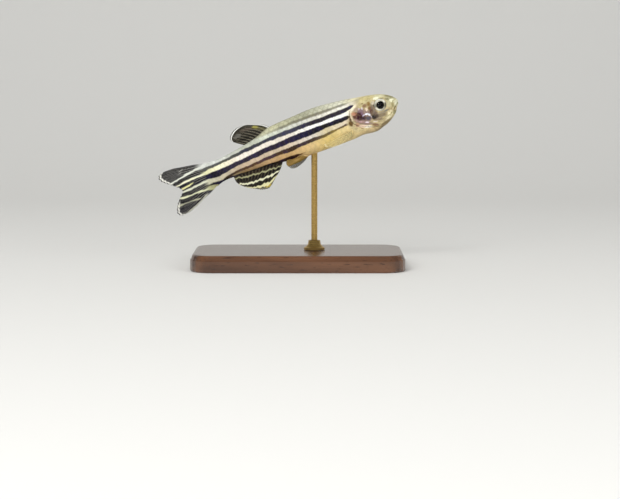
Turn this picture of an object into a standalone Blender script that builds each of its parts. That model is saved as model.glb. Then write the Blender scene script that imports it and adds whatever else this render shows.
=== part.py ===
"""Zebra danio, a slim striped freshwater fish, life size, as a still display model on a small stand.

The fish is drawn in its own frame first: `back` is how far a point lies behind the tip of the
snout, `height` how far above the body's axis and `side` how far out to the left. One empty then
carries every piece of the fish to its place over the stand, nose up. All sizes are in millimetres.
"""

import math

import bmesh
import bpy
import numpy as np
from mathutils import Vector

MM = 0.001

# The fish over its stand
SNOUT_AHEAD = 23.2
MIDDLE_X = -3.6
MIDDLE_Z = 21.0
NOSE_UP_DEG = 19.7

# The body's outline: (back, height) of the back, of the belly, of the widest line, and half widths
BACK_LINE = (
    (0.0, 0.9), (0.06, 1.26), (0.4, 1.85), (1.1, 2.5), (2.5, 3.2), (4.3, 3.73), (7.0, 4.17),
    (10.5, 4.7), (15.0, 5.03), (19.0, 4.8), (22.8, 4.53), (26.0, 3.5), (29.5, 2.75), (33.1, 2.22),
    (34.4, 2.1), (35.6, 2.25),
)
BELLY_LINE = (
    (0.0, 0.9), (0.18, 0.54), (0.54, 0.0), (0.95, -0.75), (2.2, -1.75), (3.4, -2.34),
    (5.6, -2.9), (7.9, -2.68), (9.7, -2.86), (15.0, -2.92), (19.0, -2.92), (22.3, -2.52),
    (25.0, -2.2), (29.5, -2.0), (33.0, -1.97), (34.5, -2.15), (35.6, -2.55),
)
WIDEST_LINE = ((0.0, 0.9), (3.2, 1.1), (9.0, 1.0), (17.0, 0.9), (24.0, 0.8), (30.0, 0.4), (35.6, 0.0))
HALF_WIDTH = (
    (0.0, 0.0), (0.06, 0.3), (0.4, 0.72), (1.1, 1.1), (2.2, 1.42), (3.3, 1.66), (5.0, 1.88),
    (8.0, 2.1), (12.0, 2.2), (16.0, 2.15), (20.0, 1.85), (24.0, 1.4), (28.0, 1.05), (32.0, 0.8),
    (34.6, 0.6), (35.6, 0.36),
)
SECTION_POWER = 2.25
BODY_SIDES = 26

# Where the body is parted, and how wide the cuts are
NECK_CUT = 8.3
STALK_CUT = 24.6
BODY_END = 35.6
CUT = 0.12

# Eye, in its socket
EYE_BACK = 3.2
EYE_HEIGHT = 1.4
EYE_SIDE = 1.06
EYE_RADIUS = 1.14
EYE_DEPTH = 0.8

# Mouth: the lower jaw is the wedge in front of and below this line
JAW_LINE = ((-0.6, 1.3), (0.0, 0.93), (0.75, 0.42), (1.45, -0.2), (1.75, -0.9), (2.45, -2.6))
JAW_UNDER = (-0.6, -2.6)
NOSTRIL_BACK = 1.9
NOSTRIL_HEIGHT = 2.07
NOSTRIL_RADIUS = 0.17

# Gill cover: its outline on the cheek, from the upper rear corner round the free edge
GILL_OUTLINE = (
    (8.75, 2.25), (9.15, 1.2), (9.0, 0.1), (8.3, -0.65), (7.0, -1.3), (5.8, -1.8), (4.9, -1.85),
    (4.85, -1.1), (5.2, 0.3), (5.6, 1.7), (7.0, 2.6),
)
GILL_CENTRE = (7.1, 0.5)
GILL_THICKNESS = 0.5
GILL_RIM_POINTS = 26
GILL_RINGS = (0.4, 0.75, 1.0)

# Fins: thickness between the rays and on them
MEMBRANE = 0.5
RAY_RIDGE = 0.14

# Barbels
BARBEL_RADIUS = 0.25
BARBEL_SIDES = 8
BARBEL_STEPS = 7

# Stand
BASE_LENGTH = 38.0
BASE_WIDTH = 22.0
BASE_HEIGHT = 3.0
BASE_CORNER = 4.0
BASE_EDGE = ((0.0, 0.2), (0.25, 0.0), (2.0, 0.0), (2.3, 0.25), (2.75, 0.35), (2.95, 0.6), (3.0, 0.9))
ROD_STATION = 17.3
ROD_RADIUS = 0.55
ROD_INTO_BODY = 1.0
ROD_SIDES = 20
COLLAR_PROFILE = ((0.75, 0.0), (1.9, 0.0), (1.9, 0.35), (1.5, 0.6), (1.15, 1.0), (1.05, 1.7), (0.75, 1.7))
TOUCH = 0.1

# Finishes: colour, roughness and how metallic each kind of piece is
FINISHES = {
    "head": ((0.46, 0.40, 0.22), 0.35, 0.0),
    "lower_jaw": ((0.55, 0.50, 0.33), 0.35, 0.0),
    "gill_cover": ((0.40, 0.22, 0.22), 0.3, 0.2),
    "trunk": ((0.50, 0.44, 0.27), 0.35, 0.1),
    "tail_stalk": ((0.25, 0.24, 0.33), 0.35, 0.1),
    "fin": ((0.55, 0.55, 0.42), 0.3, 0.0),
    "eye": ((0.72, 0.73, 0.70), 0.1, 0.0),
    "barbel": ((0.36, 0.31, 0.17), 0.4, 0.0),
    "stand_base": ((0.05, 0.03, 0.02), 0.3, 0.0),
    "stand_metal": ((0.70, 0.55, 0.30), 0.25, 1.0),
}


def smooth(stations):
    """Return a function that runs smoothly through (place, value) stations without overshoot."""
    places = np.array([s[0] for s in stations], dtype=float)
    values = np.array([s[1] for s in stations], dtype=float)
    steps = np.diff(places)
    rises = np.diff(values) / steps
    slopes = np.concatenate(([rises[0]], np.zeros(len(values) - 2), [rises[-1]]))
    for i in range(1, len(values) - 1):
        before, after = rises[i - 1], rises[i]
        if before * after > 0.0:
            slopes[i] = 2.0 * before * after / (before + after)

    def value(place):
        i = int(np.clip(np.searchsorted(places, place) - 1, 0, len(steps) - 1))
        t = min(max((place - places[i]) / steps[i], 0.0), 1.0)
        rest = values[i] * (1 + 2 * t) * (1 - t) ** 2 + values[i + 1] * t * t * (3 - 2 * t)
        return float(rest + steps[i] * t * (1 - t) * (slopes[i] * (1 - t) - slopes[i + 1] * t))

    return value


def path_through(points):
    """Return a function of 0 to 1 that runs smoothly along points, evenly by their distances."""
    points = np.array(points, dtype=float)
    gaps = np.linalg.norm(np.diff(points, axis=0), axis=1)
    places = np.concatenate(([0.0], np.cumsum(gaps))) / gaps.sum()
    parts = [smooth(list(zip(places, points[:, k], strict=True))) for k in range(points.shape[1])]
    return lambda t: np.array([part(t) for part in parts])


back_line = smooth(BACK_LINE)
belly_line = smooth(BELLY_LINE)
widest_line = smooth(WIDEST_LINE)
half_width = smooth(HALF_WIDTH)


def place(back, side, height):
    """Turn a fish measurement into a point of the fish's own frame, in metres."""
    return Vector((SNOUT_AHEAD - back, side, height)) * MM


def flank(back, height):
    """How far out the body's surface is at this place on its side."""
    middle = widest_line(back)
    reach = back_line(back) - middle if height > middle else middle - belly_line(back)
    share = min(abs(height - middle) / max(reach, 1e-6), 1.0)
    return half_width(back) * (1.0 - share**SECTION_POWER) ** (1.0 / SECTION_POWER)


def flank_point(back, height, out):
    """The point that stands `out` from the left flank, square to the surface."""
    step = 0.05
    slope_back = (flank(back + step, height) - flank(back - step, height)) / (2 * step)
    slope_up = (flank(back, height + step) - flank(back, height - step)) / (2 * step)
    normal = np.array([-slope_back, 1.0, -slope_up])
    normal /= np.linalg.norm(normal)
    return np.array([back, flank(back, height), height]) + out * normal


def body_ring(back):
    """One cross-section of the body, from the back down the left side and up the right."""
    middle = widest_line(back)
    points = []
    for k in range(BODY_SIDES):
        turn = 2 * math.pi * k / BODY_SIDES
        across, up = math.sin(turn), math.cos(turn)
        reach = back_line(back) - middle if up > 0 else middle - belly_line(back)
        side = math.copysign(abs(across) ** (2 / SECTION_POWER), across) * half_width(back)
        height = middle + math.copysign(abs(up) ** (2 / SECTION_POWER), up) * reach
        points.append(place(back, side, height))
    return points


def material(name, colour, roughness, metallic):
    """A plain finish in one colour."""
    made = bpy.data.materials.new(name)
    made.use_nodes = True
    shader = made.node_tree.nodes["Principled BSDF"]
    shader.inputs["Base Color"].default_value = (*colour, 1.0)
    shader.inputs["Roughness"].default_value = roughness
    shader.inputs["Metallic"].default_value = metallic
    return made


def add_object(name, verts, faces, finish=None, parent=None):
    """Make an object from points and faces, smooth shaded, with its faces turned outwards.

    `finish` names its entry in FINISHES; a cutter has none.
    """
    mesh = bpy.data.meshes.new(name)
    mesh.from_pydata([tuple(v) for v in verts], [], faces)
    work = bmesh.new()
    work.from_mesh(mesh)
    bmesh.ops.recalc_face_normals(work, faces=work.faces)
    work.to_mesh(mesh)
    work.free()
    mesh.shade_smooth()
    mesh.set_sharp_from_angle(angle=math.radians(40))
    made = bpy.data.objects.new(name, mesh)
    bpy.context.scene.collection.objects.link(made)
    if finish:
        mesh.materials.append(material(name, *FINISHES[finish]))
    made.parent = parent
    return made


def loft(rings):
    """Points and faces of a closed skin over equal rings; a ring of one point is a pole."""
    verts, starts = [], []
    for ring in rings:
        starts.append(len(verts))
        verts.extend(ring)
    faces = []
    for near, far in zip(range(len(rings) - 1), range(1, len(rings)), strict=True):
        a, b = starts[near], starts[far]
        count = max(len(rings[near]), len(rings[far]))
        for k in range(count):
            m = (k + 1) % count
            if len(rings[near]) == 1:
                faces.append((a, b + k, b + m))
            elif len(rings[far]) == 1:
                faces.append((a + k, a + m, b))
            else:
                faces.append((a + k, a + m, b + m, b + k))
    for ring, start in ((rings[0], starts[0]), (rings[-1], starts[-1])):
        if len(ring) > 1:
            faces.append(tuple(range(start, start + len(ring))))
    return verts, faces


def cutter(made):
    """Mark an object as a cutter, which isn't part of the model."""
    made.hide_render = True
    made.display_type = "WIRE"
    return made


def boolean(made, tool, operation="DIFFERENCE"):
    """Cut an object with a cutter, or keep only what lies inside it."""
    step = made.modifiers.new(tool.name, "BOOLEAN")
    step.operation = operation
    step.solver = "EXACT"
    step.object = tool


def prism(name, outline, half_depth, parent):
    """A cutter: an outline on the fish's side, carried through the whole body."""
    rings = [[place(b, side, h) for b, h in outline] for side in (-half_depth, half_depth)]
    return cutter(add_object(name, *loft(rings), parent=parent))


def ellipsoid(name, centre, radii, finish=None, parent=None, rings=8, sides=20):
    """A closed ball with its poles to the left and right, centred on a fish measurement."""
    back, side, height = centre
    sections = []
    for j in range(rings + 1):
        lean = math.pi * j / rings
        if j in (0, rings):
            sections.append([place(back, side + radii[1] * math.cos(lean), height)])
            continue
        reach = math.sin(lean)
        ring = []
        for k in range(sides):
            turn = 2 * math.pi * k / sides
            ring.append(
                place(
                    back + radii[0] * reach * math.cos(turn),
                    side + radii[1] * math.cos(lean),
                    height + radii[2] * reach * math.sin(turn),
                )
            )
        sections.append(ring)
    return add_object(name, *loft(sections), finish, parent)


def body_stations(start, end, spacing):
    """Evenly spaced places for the body's rings, both ends included."""
    count = max(2, round((end - start) / spacing) + 1)
    return np.linspace(start, end, count)


def head_rings():
    """The head's rings, close together at the blunt snout, with a pole at its tip."""
    nose = [0.06, 0.18, 0.38, 0.65, 1.0, 1.4]
    return [[place(0.0, 0.0, back_line(0.0))]] + [
        body_ring(back) for back in nose + list(body_stations(1.9, NECK_CUT - CUT / 2, 0.75))
    ]


def grown(outline, centre, amount):
    """An outline with each point moved away from a centre."""
    centre = np.array(centre)
    points = []
    for point in outline:
        away = np.array(point) - centre
        points.append(tuple(np.array(point) + away / np.linalg.norm(away) * amount))
    return points


def gill_plate(name, side, grow, outside, inside, finish=None, parent=None):
    """A closed plate that lies along the cheek: its rim, and how far it stands out and in."""
    rim = path_through([*GILL_OUTLINE, GILL_OUTLINE[0]])
    flat = [rim(k / GILL_RIM_POINTS) for k in range(GILL_RIM_POINTS)]
    flat = [np.array(p) for p in grown(flat, GILL_CENTRE, grow)]
    centre = np.array(GILL_CENTRE)

    def spot(point, out):
        back, y, height = flank_point(point[0], point[1], out)
        return place(back, side * y, height)

    outer = [[spot(centre, outside)]]
    inner = [[spot(centre, -inside)]]
    for share in GILL_RINGS:
        ring = [centre + share * (p - centre) for p in flat]
        outer.append([spot(p, outside) for p in ring])
        inner.append([spot(p, -inside) for p in ring])
    return add_object(name, *loft(outer + inner[::-1]), finish, parent)


def jaw_outline(grow):
    """The outline that holds the lower jaw, its upper and rear line moved by `grow`."""
    line = [(back + 0.5 * grow, height + 0.85 * grow) for back, height in JAW_LINE[:4]]
    line += [(back + grow, height) for back, height in JAW_LINE[4:]]
    return [*line, (JAW_UNDER[0], JAW_UNDER[1])]


def add_head(parent):
    """Head, lower jaw, gill covers and eyes; returns the cutters for the gill covers' room."""
    head = add_object("head", *loft(head_rings()), "head", parent)
    jaw = add_object("lower_jaw", *loft(head_rings()), "lower_jaw", parent)
    boolean(jaw, prism("jaw_block", jaw_outline(0.0), 3.0, parent), "INTERSECT")
    boolean(head, prism("jaw_room", jaw_outline(CUT), 3.0, parent))
    pockets = []
    for word, side in (("left", 1), ("right", -1)):
        eye_centre = (EYE_BACK, side * EYE_SIDE, EYE_HEIGHT)
        radii = (EYE_RADIUS, EYE_DEPTH, EYE_RADIUS)
        room = tuple(r + CUT for r in radii)
        ellipsoid(f"eye_{word}", eye_centre, radii, "eye", parent)
        boolean(head, cutter(ellipsoid(f"socket_{word}", eye_centre, room, parent=parent)))
        spot = flank_point(NOSTRIL_BACK, NOSTRIL_HEIGHT, 0.03)
        centre = (spot[0], side * spot[1], spot[2])
        pit = ellipsoid(
            f"nostril_{word}", centre, (NOSTRIL_RADIUS,) * 3, parent=parent, rings=6, sides=10
        )
        boolean(head, cutter(pit))
        gill_plate(f"gill_cover_{word}", side, 0.0, 0.0, GILL_THICKNESS, "gill_cover", parent)
        pocket = gill_plate(
            f"gill_pocket_{word}", side, CUT, 0.6, GILL_THICKNESS + CUT, parent=parent
        )
        pockets.append(cutter(pocket))
        boolean(head, pocket)
    return pockets


def add_trunk_and_stalk(parent, pockets, rod_hole):
    """The trunk from the gill opening to the vent, and the tail stalk behind it."""
    spans = {
        "trunk": (NECK_CUT + CUT / 2, STALK_CUT - CUT / 2, 1.15),
        "tail_stalk": (STALK_CUT + CUT / 2, BODY_END, 1.0),
    }
    for name, (start, end, spacing) in spans.items():
        rings = [body_ring(back) for back in body_stations(start, end, spacing)]
        made = add_object(name, *loft(rings), name, parent)
        if name == "trunk":
            for tool in (*pockets, rod_hole):
                boolean(made, tool)


def fin_sheet(base, tip, front, rear, rays, steps):
    """Points of a fin's middle sheet, row by row from the base to the outer edge.

    The four sides are paths of 0 to 1: base and tip run from the first ray to the last, front and
    rear from the base to the outer edge.
    """
    across = 2 * rays
    sheet = np.zeros((steps + 1, across + 1, 3))
    corners = [np.array(c) for c in (base(0), base(1), tip(0), tip(1))]
    for j in range(steps + 1):
        t = j / steps
        for i in range(across + 1):
            s = i / across
            ruled = (1 - t) * base(s) + t * tip(s) + (1 - s) * front(t) + s * rear(t)
            shared = (1 - t) * ((1 - s) * corners[0] + s * corners[1])
            shared = shared + t * ((1 - s) * corners[2] + s * corners[3])
            sheet[j, i] = ruled - shared
    return sheet


def add_fin(name, sides, rays, steps, parent):
    """A fin as one closed plate with a low ridge along each ray."""
    sheet = fin_sheet(*sides, rays, steps)
    along = np.gradient(sheet, axis=0)
    across = np.gradient(sheet, axis=1)
    normals = np.cross(along, across)
    normals /= np.linalg.norm(normals, axis=2, keepdims=True)
    rows, columns = sheet.shape[:2]
    verts = []
    for sign in (1, -1):
        for j in range(rows):
            for i in range(columns):
                ridge = RAY_RIDGE if i % 2 else 0.0
                out = 0.5 * (MEMBRANE + ridge) * sign
                verts.append(place(*(sheet[j, i] + out * normals[j, i])))
    count = rows * columns
    faces = []
    for j in range(rows - 1):
        for i in range(columns - 1):
            a = j * columns + i
            quad = (a, a + 1, a + columns + 1, a + columns)
            faces.append(quad)
            faces.append(tuple(q + count for q in reversed(quad)))
    rim = [i for i in range(columns)]
    rim += [j * columns + columns - 1 for j in range(1, rows)]
    rim += [(rows - 1) * columns + i for i in range(columns - 2, -1, -1)]
    rim += [j * columns for j in range(rows - 2, 0, -1)]
    for a, b in zip(rim, rim[1:] + rim[:1], strict=True):
        faces.append((a, b, b + count, a + count))
    return add_object(name, verts, faces, "fin", parent)


def median(points):
    """A path in the fish's middle plane through (back, height) points."""
    return path_through([(back, 0.0, height) for back, height in points])


def along_body(start, end, line, clear):
    """A path that keeps `clear` above a line of the body, or below it where that is negative."""
    return median([(b, line(b) + clear) for b in np.linspace(start, end, 7)])


def ends(path, t):
    """The (back, height) of a path of the middle plane at its start or end."""
    return tuple(path(t)[[0, 2]])


def add_median_fins(parent):
    """Dorsal, anal and tail fin."""
    lift = TOUCH + 0.02
    dorsal_base = along_body(23.0, 28.3, back_line, lift)
    dorsal = (
        dorsal_base,
        median(
            [
                (27.7, 6.25), (28.6, 6.17), (29.4, 5.96), (30.0, 5.6), (30.45, 5.1), (30.6, 4.7),
                (30.45, 4.2),
            ]
        ),
        median(
            [ends(dorsal_base, 0), (24.1, 5.13), (25.0, 5.53), (25.9, 5.87), (26.8, 6.14), (27.7, 6.25)]
        ),
        median([ends(dorsal_base, 1), (29.2, 3.25), (29.9, 3.75), (30.45, 4.2)]),
    )
    add_fin("dorsal_fin", dorsal, 9, 5, parent)
    anal_base = along_body(22.9, 32.3, belly_line, -lift)
    anal = (
        anal_base,
        median([(27.0, -5.95), (27.9, -5.85), (29.2, -5.3), (30.4, -4.68), (31.3, -4.0), (31.9, -3.4)]),
        median([ends(anal_base, 0), (24.1, -3.6), (25.2, -4.5), (26.3, -5.45), (27.0, -5.95)]),
        median([ends(anal_base, 1), (32.2, -2.7), (31.9, -3.4)]),
    )
    add_fin("anal_fin", anal, 14, 5, parent)
    upper_root = (BODY_END + TOUCH, back_line(BODY_END))
    lower_root = (BODY_END + TOUCH, belly_line(BODY_END))
    tail = (
        median([upper_root, lower_root]),
        median(
            [
                (44.4, 3.05), (44.95, 2.75), (45.1, 2.34), (44.85, 1.75), (43.9, 0.9), (42.7, -0.05),
                (41.95, -0.8), (41.8, -1.26), (42.2, -1.75), (42.8, -2.34), (43.5, -3.2),
                (44.0, -4.3), (44.05, -4.7), (43.75, -5.1), (43.2, -5.3),
            ]
        ),
        median([upper_root, (38.5, 2.62), (40.7, 2.95), (42.1, 3.17), (43.4, 3.2), (44.4, 3.05)]),
        median([lower_root, (37.0, -3.1), (38.5, -3.7), (40.3, -4.55), (41.8, -5.1), (43.2, -5.3)]),
    )
    add_fin("caudal_fin", tail, 19, 6, parent)


def paired(points, side):
    """A path through (back, out, height) points, on the left or the right of the fish."""
    return path_through([(back, side * out, height) for back, out, height in points])


def add_paired_fins(parent):
    """Pectoral fins laid back along the flank, and pelvic fins trailing under the belly."""
    for word, side in (("left", 1), ("right", -1)):
        pectoral = (
            paired([(9.7, 2.22, -1.15), (9.8, 2.14, -1.6), (10.0, 2.02, -2.05)], side),
            paired([(15.2, 3.0, -1.75), (15.1, 3.0, -2.2), (14.2, 2.85, -2.65), (12.6, 2.5, -2.8)], side),
            paired([(9.7, 2.22, -1.15), (12.4, 2.66, -1.3), (15.2, 3.0, -1.75)], side),
            paired([(10.0, 2.02, -2.05), (11.3, 2.25, -2.5), (12.6, 2.5, -2.8)], side),
        )
        add_fin(f"pectoral_fin_{word}", pectoral, 10, 4, parent)
    trailing = (
        paired([(18.5, 0.85, -3.12), (18.8, 1.2, -2.9), (19.2, 1.5, -2.55)], -1),
        paired([(22.4, 1.15, -3.4), (22.6, 1.3, -2.95), (22.5, 1.5, -2.5), (22.2, 1.6, -2.2)], -1),
        paired([(18.5, 0.85, -3.12), (20.4, 1.0, -3.32), (22.4, 1.15, -3.4)], -1),
        paired([(19.2, 1.5, -2.55), (20.7, 1.6, -2.4), (22.2, 1.6, -2.2)], -1),
    )
    add_fin("pelvic_fin_right", trailing, 7, 4, parent)
    hanging = (
        paired([(18.5, 0.85, -3.12), (18.9, 1.15, -2.95), (19.4, 1.45, -2.6)], 1),
        paired([(21.2, 1.3, -4.2), (21.9, 1.45, -4.1), (22.4, 1.6, -3.6), (22.5, 1.75, -3.0)], 1),
        paired([(18.5, 0.85, -3.12), (19.8, 1.1, -3.75), (21.2, 1.3, -4.2)], 1),
        paired([(19.4, 1.45, -2.6), (21.0, 1.65, -2.85), (22.5, 1.75, -3.0)], 1),
    )
    add_fin("pelvic_fin_left", hanging, 7, 4, parent)


def add_barbels(parent):
    """A short pair beside the snout and a longer pair from the corners of the mouth."""
    roots = {
        "barbel_rostral": ((0.75, 1.45), (1.35, 0.75), (1.9, 0.25)),
        "barbel_maxillary": ((1.75, -0.35), (3.2, -0.95), (4.6, -1.2)),
    }
    clear = BARBEL_RADIUS + TOUCH
    for name, points in roots.items():
        way = path_through(points)
        for word, side in (("left", 1), ("right", -1)):
            middles = []
            for j in range(BARBEL_STEPS + 1):
                back, y, height = flank_point(*way(j / BARBEL_STEPS), clear)
                middles.append(place(back, side * y, height))
            rings = []
            for j, middle in enumerate(middles):
                ahead = middles[min(j + 1, BARBEL_STEPS)] - middles[max(j - 1, 0)]
                first = ahead.cross(Vector((0, 0, 1))).normalized()
                second = ahead.cross(first).normalized()
                radius = BARBEL_RADIUS * MM * (1.0 if 0 < j < BARBEL_STEPS else 0.8)
                rings.append(
                    [
                        middle
                        + radius * math.cos(2 * math.pi * k / BARBEL_SIDES) * first
                        + radius * math.sin(2 * math.pi * k / BARBEL_SIDES) * second
                        for k in range(BARBEL_SIDES)
                    ]
                )
            add_object(f"{name}_{word}", *loft(rings), "barbel", parent)


def rounded_plate(inset):
    """The base's outline with round corners, moved in by `inset`."""
    radius = BASE_CORNER - inset
    points = []
    for corner, (sx, sy) in enumerate(((1, 1), (-1, 1), (-1, -1), (1, -1))):
        cx = sx * (BASE_LENGTH / 2 - BASE_CORNER)
        cy = sy * (BASE_WIDTH / 2 - BASE_CORNER)
        for k in range(7):
            turn = math.pi / 2 * (corner + k / 6)
            points.append((cx + radius * math.cos(turn), cy + radius * math.sin(turn)))
    return points


def turned(name, profile, x, bottom, sides, finish):
    """A ring turned about an upright axis: its (radius, height) profile, closed on itself."""
    verts, faces = [], []
    for radius, height in profile:
        for k in range(sides):
            turn = 2 * math.pi * k / sides
            verts.append(
                Vector((x + radius * math.cos(turn), radius * math.sin(turn), bottom + height)) * MM
            )
    for j in range(len(profile)):
        n = (j + 1) % len(profile)
        for k in range(sides):
            m = (k + 1) % sides
            faces.append((j * sides + k, j * sides + m, n * sides + m, n * sides + k))
    return add_object(name, verts, faces, finish)


def upright_rod(name, x, bottom, top, radius, finish=None):
    """A plain upright round rod with a small chamfer at its top."""
    chamfer = 0.12
    rings = []
    for height, size in ((bottom, radius), (top - chamfer, radius), (top, radius - chamfer)):
        rings.append(
            [
                Vector((x + size * math.cos(turn), size * math.sin(turn), height)) * MM
                for turn in (2 * math.pi * k / ROD_SIDES for k in range(ROD_SIDES))
            ]
        )
    return add_object(name, *loft(rings), finish)


def add_stand(rod_x, rod_top):
    """The base, the collar on it and the rod up into the belly; returns the cutter for its hole."""
    layers = [
        [Vector((x, y, height)) * MM for x, y in rounded_plate(inset)] for height, inset in BASE_EDGE
    ]
    add_object("stand_base", *loft(layers), "stand_base")
    foot = BASE_HEIGHT + TOUCH
    turned("stand_collar", COLLAR_PROFILE, rod_x, foot, ROD_SIDES, "stand_metal")
    upright_rod("stand_rod", rod_x, foot, rod_top, ROD_RADIUS, "stand_metal")
    room = upright_rod("rod_room", rod_x, rod_top - 5.0, rod_top + CUT, ROD_RADIUS + CUT)
    return cutter(room)


def clear_scene():
    """Remove every object that the file holds."""
    for made in list(bpy.data.objects):
        bpy.data.objects.remove(made, do_unlink=True)


def main():
    clear_scene()
    tilt = math.radians(NOSE_UP_DEG)
    pose = bpy.data.objects.new("fish_pose", None)
    bpy.context.scene.collection.objects.link(pose)
    pose.location = Vector((MIDDLE_X, 0.0, MIDDLE_Z)) * MM
    pose.rotation_euler = (0.0, -tilt, 0.0)

    ahead = SNOUT_AHEAD - ROD_STATION
    belly = belly_line(ROD_STATION)
    rod_x = MIDDLE_X + ahead * math.cos(tilt) - belly * math.sin(tilt)
    rod_top = MIDDLE_Z + ahead * math.sin(tilt) + belly * math.cos(tilt) + ROD_INTO_BODY

    rod_room = add_stand(rod_x, rod_top)
    pockets = add_head(pose)
    add_trunk_and_stalk(pose, pockets, rod_room)
    add_median_fins(pose)
    add_paired_fins(pose)
    add_barbels(pose)


main()
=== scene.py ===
"""Looks of the zebra danio display model: skin, scales, eyes, fins, barbels, stand, floor and light.

The fish is drawn in its own frame, in millimetres: `back` is how far a point lies behind the tip of
the snout, `side` how far out to the left and `height` how far above the body's axis. FishPlace
carries such points to the model's frame, in metres, nose up over the stand.
"""

import logging
import math
from dataclasses import dataclass, field
from enum import Enum

import bmesh
import bpy
import numpy as np
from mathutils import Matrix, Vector


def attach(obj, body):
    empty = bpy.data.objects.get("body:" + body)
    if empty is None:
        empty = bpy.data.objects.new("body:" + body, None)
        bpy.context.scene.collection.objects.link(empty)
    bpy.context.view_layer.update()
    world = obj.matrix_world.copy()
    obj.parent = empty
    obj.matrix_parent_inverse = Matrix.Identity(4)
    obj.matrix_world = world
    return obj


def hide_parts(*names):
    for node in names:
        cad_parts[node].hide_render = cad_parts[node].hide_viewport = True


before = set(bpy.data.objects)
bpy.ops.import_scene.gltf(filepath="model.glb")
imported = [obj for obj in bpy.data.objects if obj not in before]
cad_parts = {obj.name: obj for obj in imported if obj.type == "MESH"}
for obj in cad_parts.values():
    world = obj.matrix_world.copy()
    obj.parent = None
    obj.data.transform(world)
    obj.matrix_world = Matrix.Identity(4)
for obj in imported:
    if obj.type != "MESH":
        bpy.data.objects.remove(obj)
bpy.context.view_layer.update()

LOG = logging.getLogger("zebra_danio")
MM = 0.001
BODY = "root"
MIX_A, MIX_B, MIX_RESULT = 6, 7, 2
GUIDE_MAP = "Guide"
BAKE_MAP = "OFBake"


class Side(Enum):
    """A side of the fish, with its sign along the fish's side axis."""

    LEFT = 1
    RIGHT = -1

    @property
    def word(self) -> str:
        """The side's name as the nodes spell it."""
        return self.name.lower()


def linear(code: str) -> tuple[float, float, float, float]:
    """Turn an sRGB hex colour into linear red, green, blue and a full alpha.

    Args:
        code: six hex digits, with or without a leading hash.

    Returns:
        The linear colour with alpha 1.
    """
    digits = code.lstrip("#")
    parts = [int(digits[k : k + 2], 16) / 255 for k in (0, 2, 4)]
    low, slope = 0.04045, 12.92
    red, green, blue = (c / slope if c <= low else ((c + 0.055) / 1.055) ** 2.4 for c in parts)
    return (red, green, blue, 1.0)


def add(tree: bpy.types.NodeTree, kind: str, inputs: dict | None = None, **settings) -> bpy.types.Node:
    """Add a node with its settings, input values and links.

    Args:
        tree: the node tree that gets the node.
        kind: the node's type name.
        inputs: for each input, by name or number, a value, a node (its first output) or a socket.
        **settings: the node's own properties.

    Returns:
        The new node.
    """
    node = tree.nodes.new(kind)
    for name, value in settings.items():
        setattr(node, name, value)
    for key, value in (inputs or {}).items():
        if isinstance(value, bpy.types.Node):
            value = value.outputs[0]
        if isinstance(value, bpy.types.NodeSocket):
            tree.links.new(value, node.inputs[key])
        else:
            node.inputs[key].default_value = value
    return node


def smoothstep(value: np.ndarray, low: float, high: float) -> np.ndarray:
    """Run smoothly from 0 where value is at low to 1 where it is at high."""
    t = np.clip((value - low) / (high - low), 0.0, 1.0)
    return t * t * (3 - 2 * t)


def bell(value: np.ndarray, width: float) -> np.ndarray:
    """A smooth bump of height 1 at 0 that dies away over width."""
    return np.exp(-((value / width) ** 2))


class Line:
    """A smooth line through (place, value) stations that doesn't overshoot."""

    def __init__(self, stations: tuple) -> None:
        """Keep the stations and work out the slopes at them."""
        self.places = np.array([s[0] for s in stations], float)
        self.values = np.array([s[1] for s in stations], float)
        self.steps = np.diff(self.places)
        rises = np.diff(self.values) / self.steps
        self.slopes = np.concatenate(([rises[0]], np.zeros(len(stations) - 2), [rises[-1]]))
        for i in range(1, len(stations) - 1):
            before, after = rises[i - 1], rises[i]
            if before * after > 0:
                self.slopes[i] = 2 * before * after / (before + after)

    def __call__(self, place: np.ndarray | float) -> np.ndarray:
        """The line's value at each place."""
        place = np.asarray(place, float)
        i = np.clip(np.searchsorted(self.places, place) - 1, 0, len(self.steps) - 1)
        step = self.steps[i]
        t = np.clip((place - self.places[i]) / step, 0.0, 1.0)
        rest = self.values[i] * (1 + 2 * t) * (1 - t) ** 2 + self.values[i + 1] * t * t * (3 - 2 * t)
        return rest + step * t * (1 - t) * (self.slopes[i] * (1 - t) - self.slopes[i + 1] * t)


class Path:
    """A smooth path of 0 to 1 through points, evenly by their distances."""

    def __init__(self, points: tuple) -> None:
        """Make one line for each coordinate."""
        spots = np.array(points, float)
        gaps = np.linalg.norm(np.diff(spots, axis=0), axis=1)
        places = np.concatenate(([0.0], np.cumsum(gaps))) / gaps.sum()
        self.parts = [Line(tuple(zip(places, spots[:, k], strict=True))) for k in range(spots.shape[1])]

    def __call__(self, share: np.ndarray) -> np.ndarray:
        """The points at these shares of the path, with the coordinates last."""
        return np.stack([part(share) for part in self.parts], axis=-1)


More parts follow.
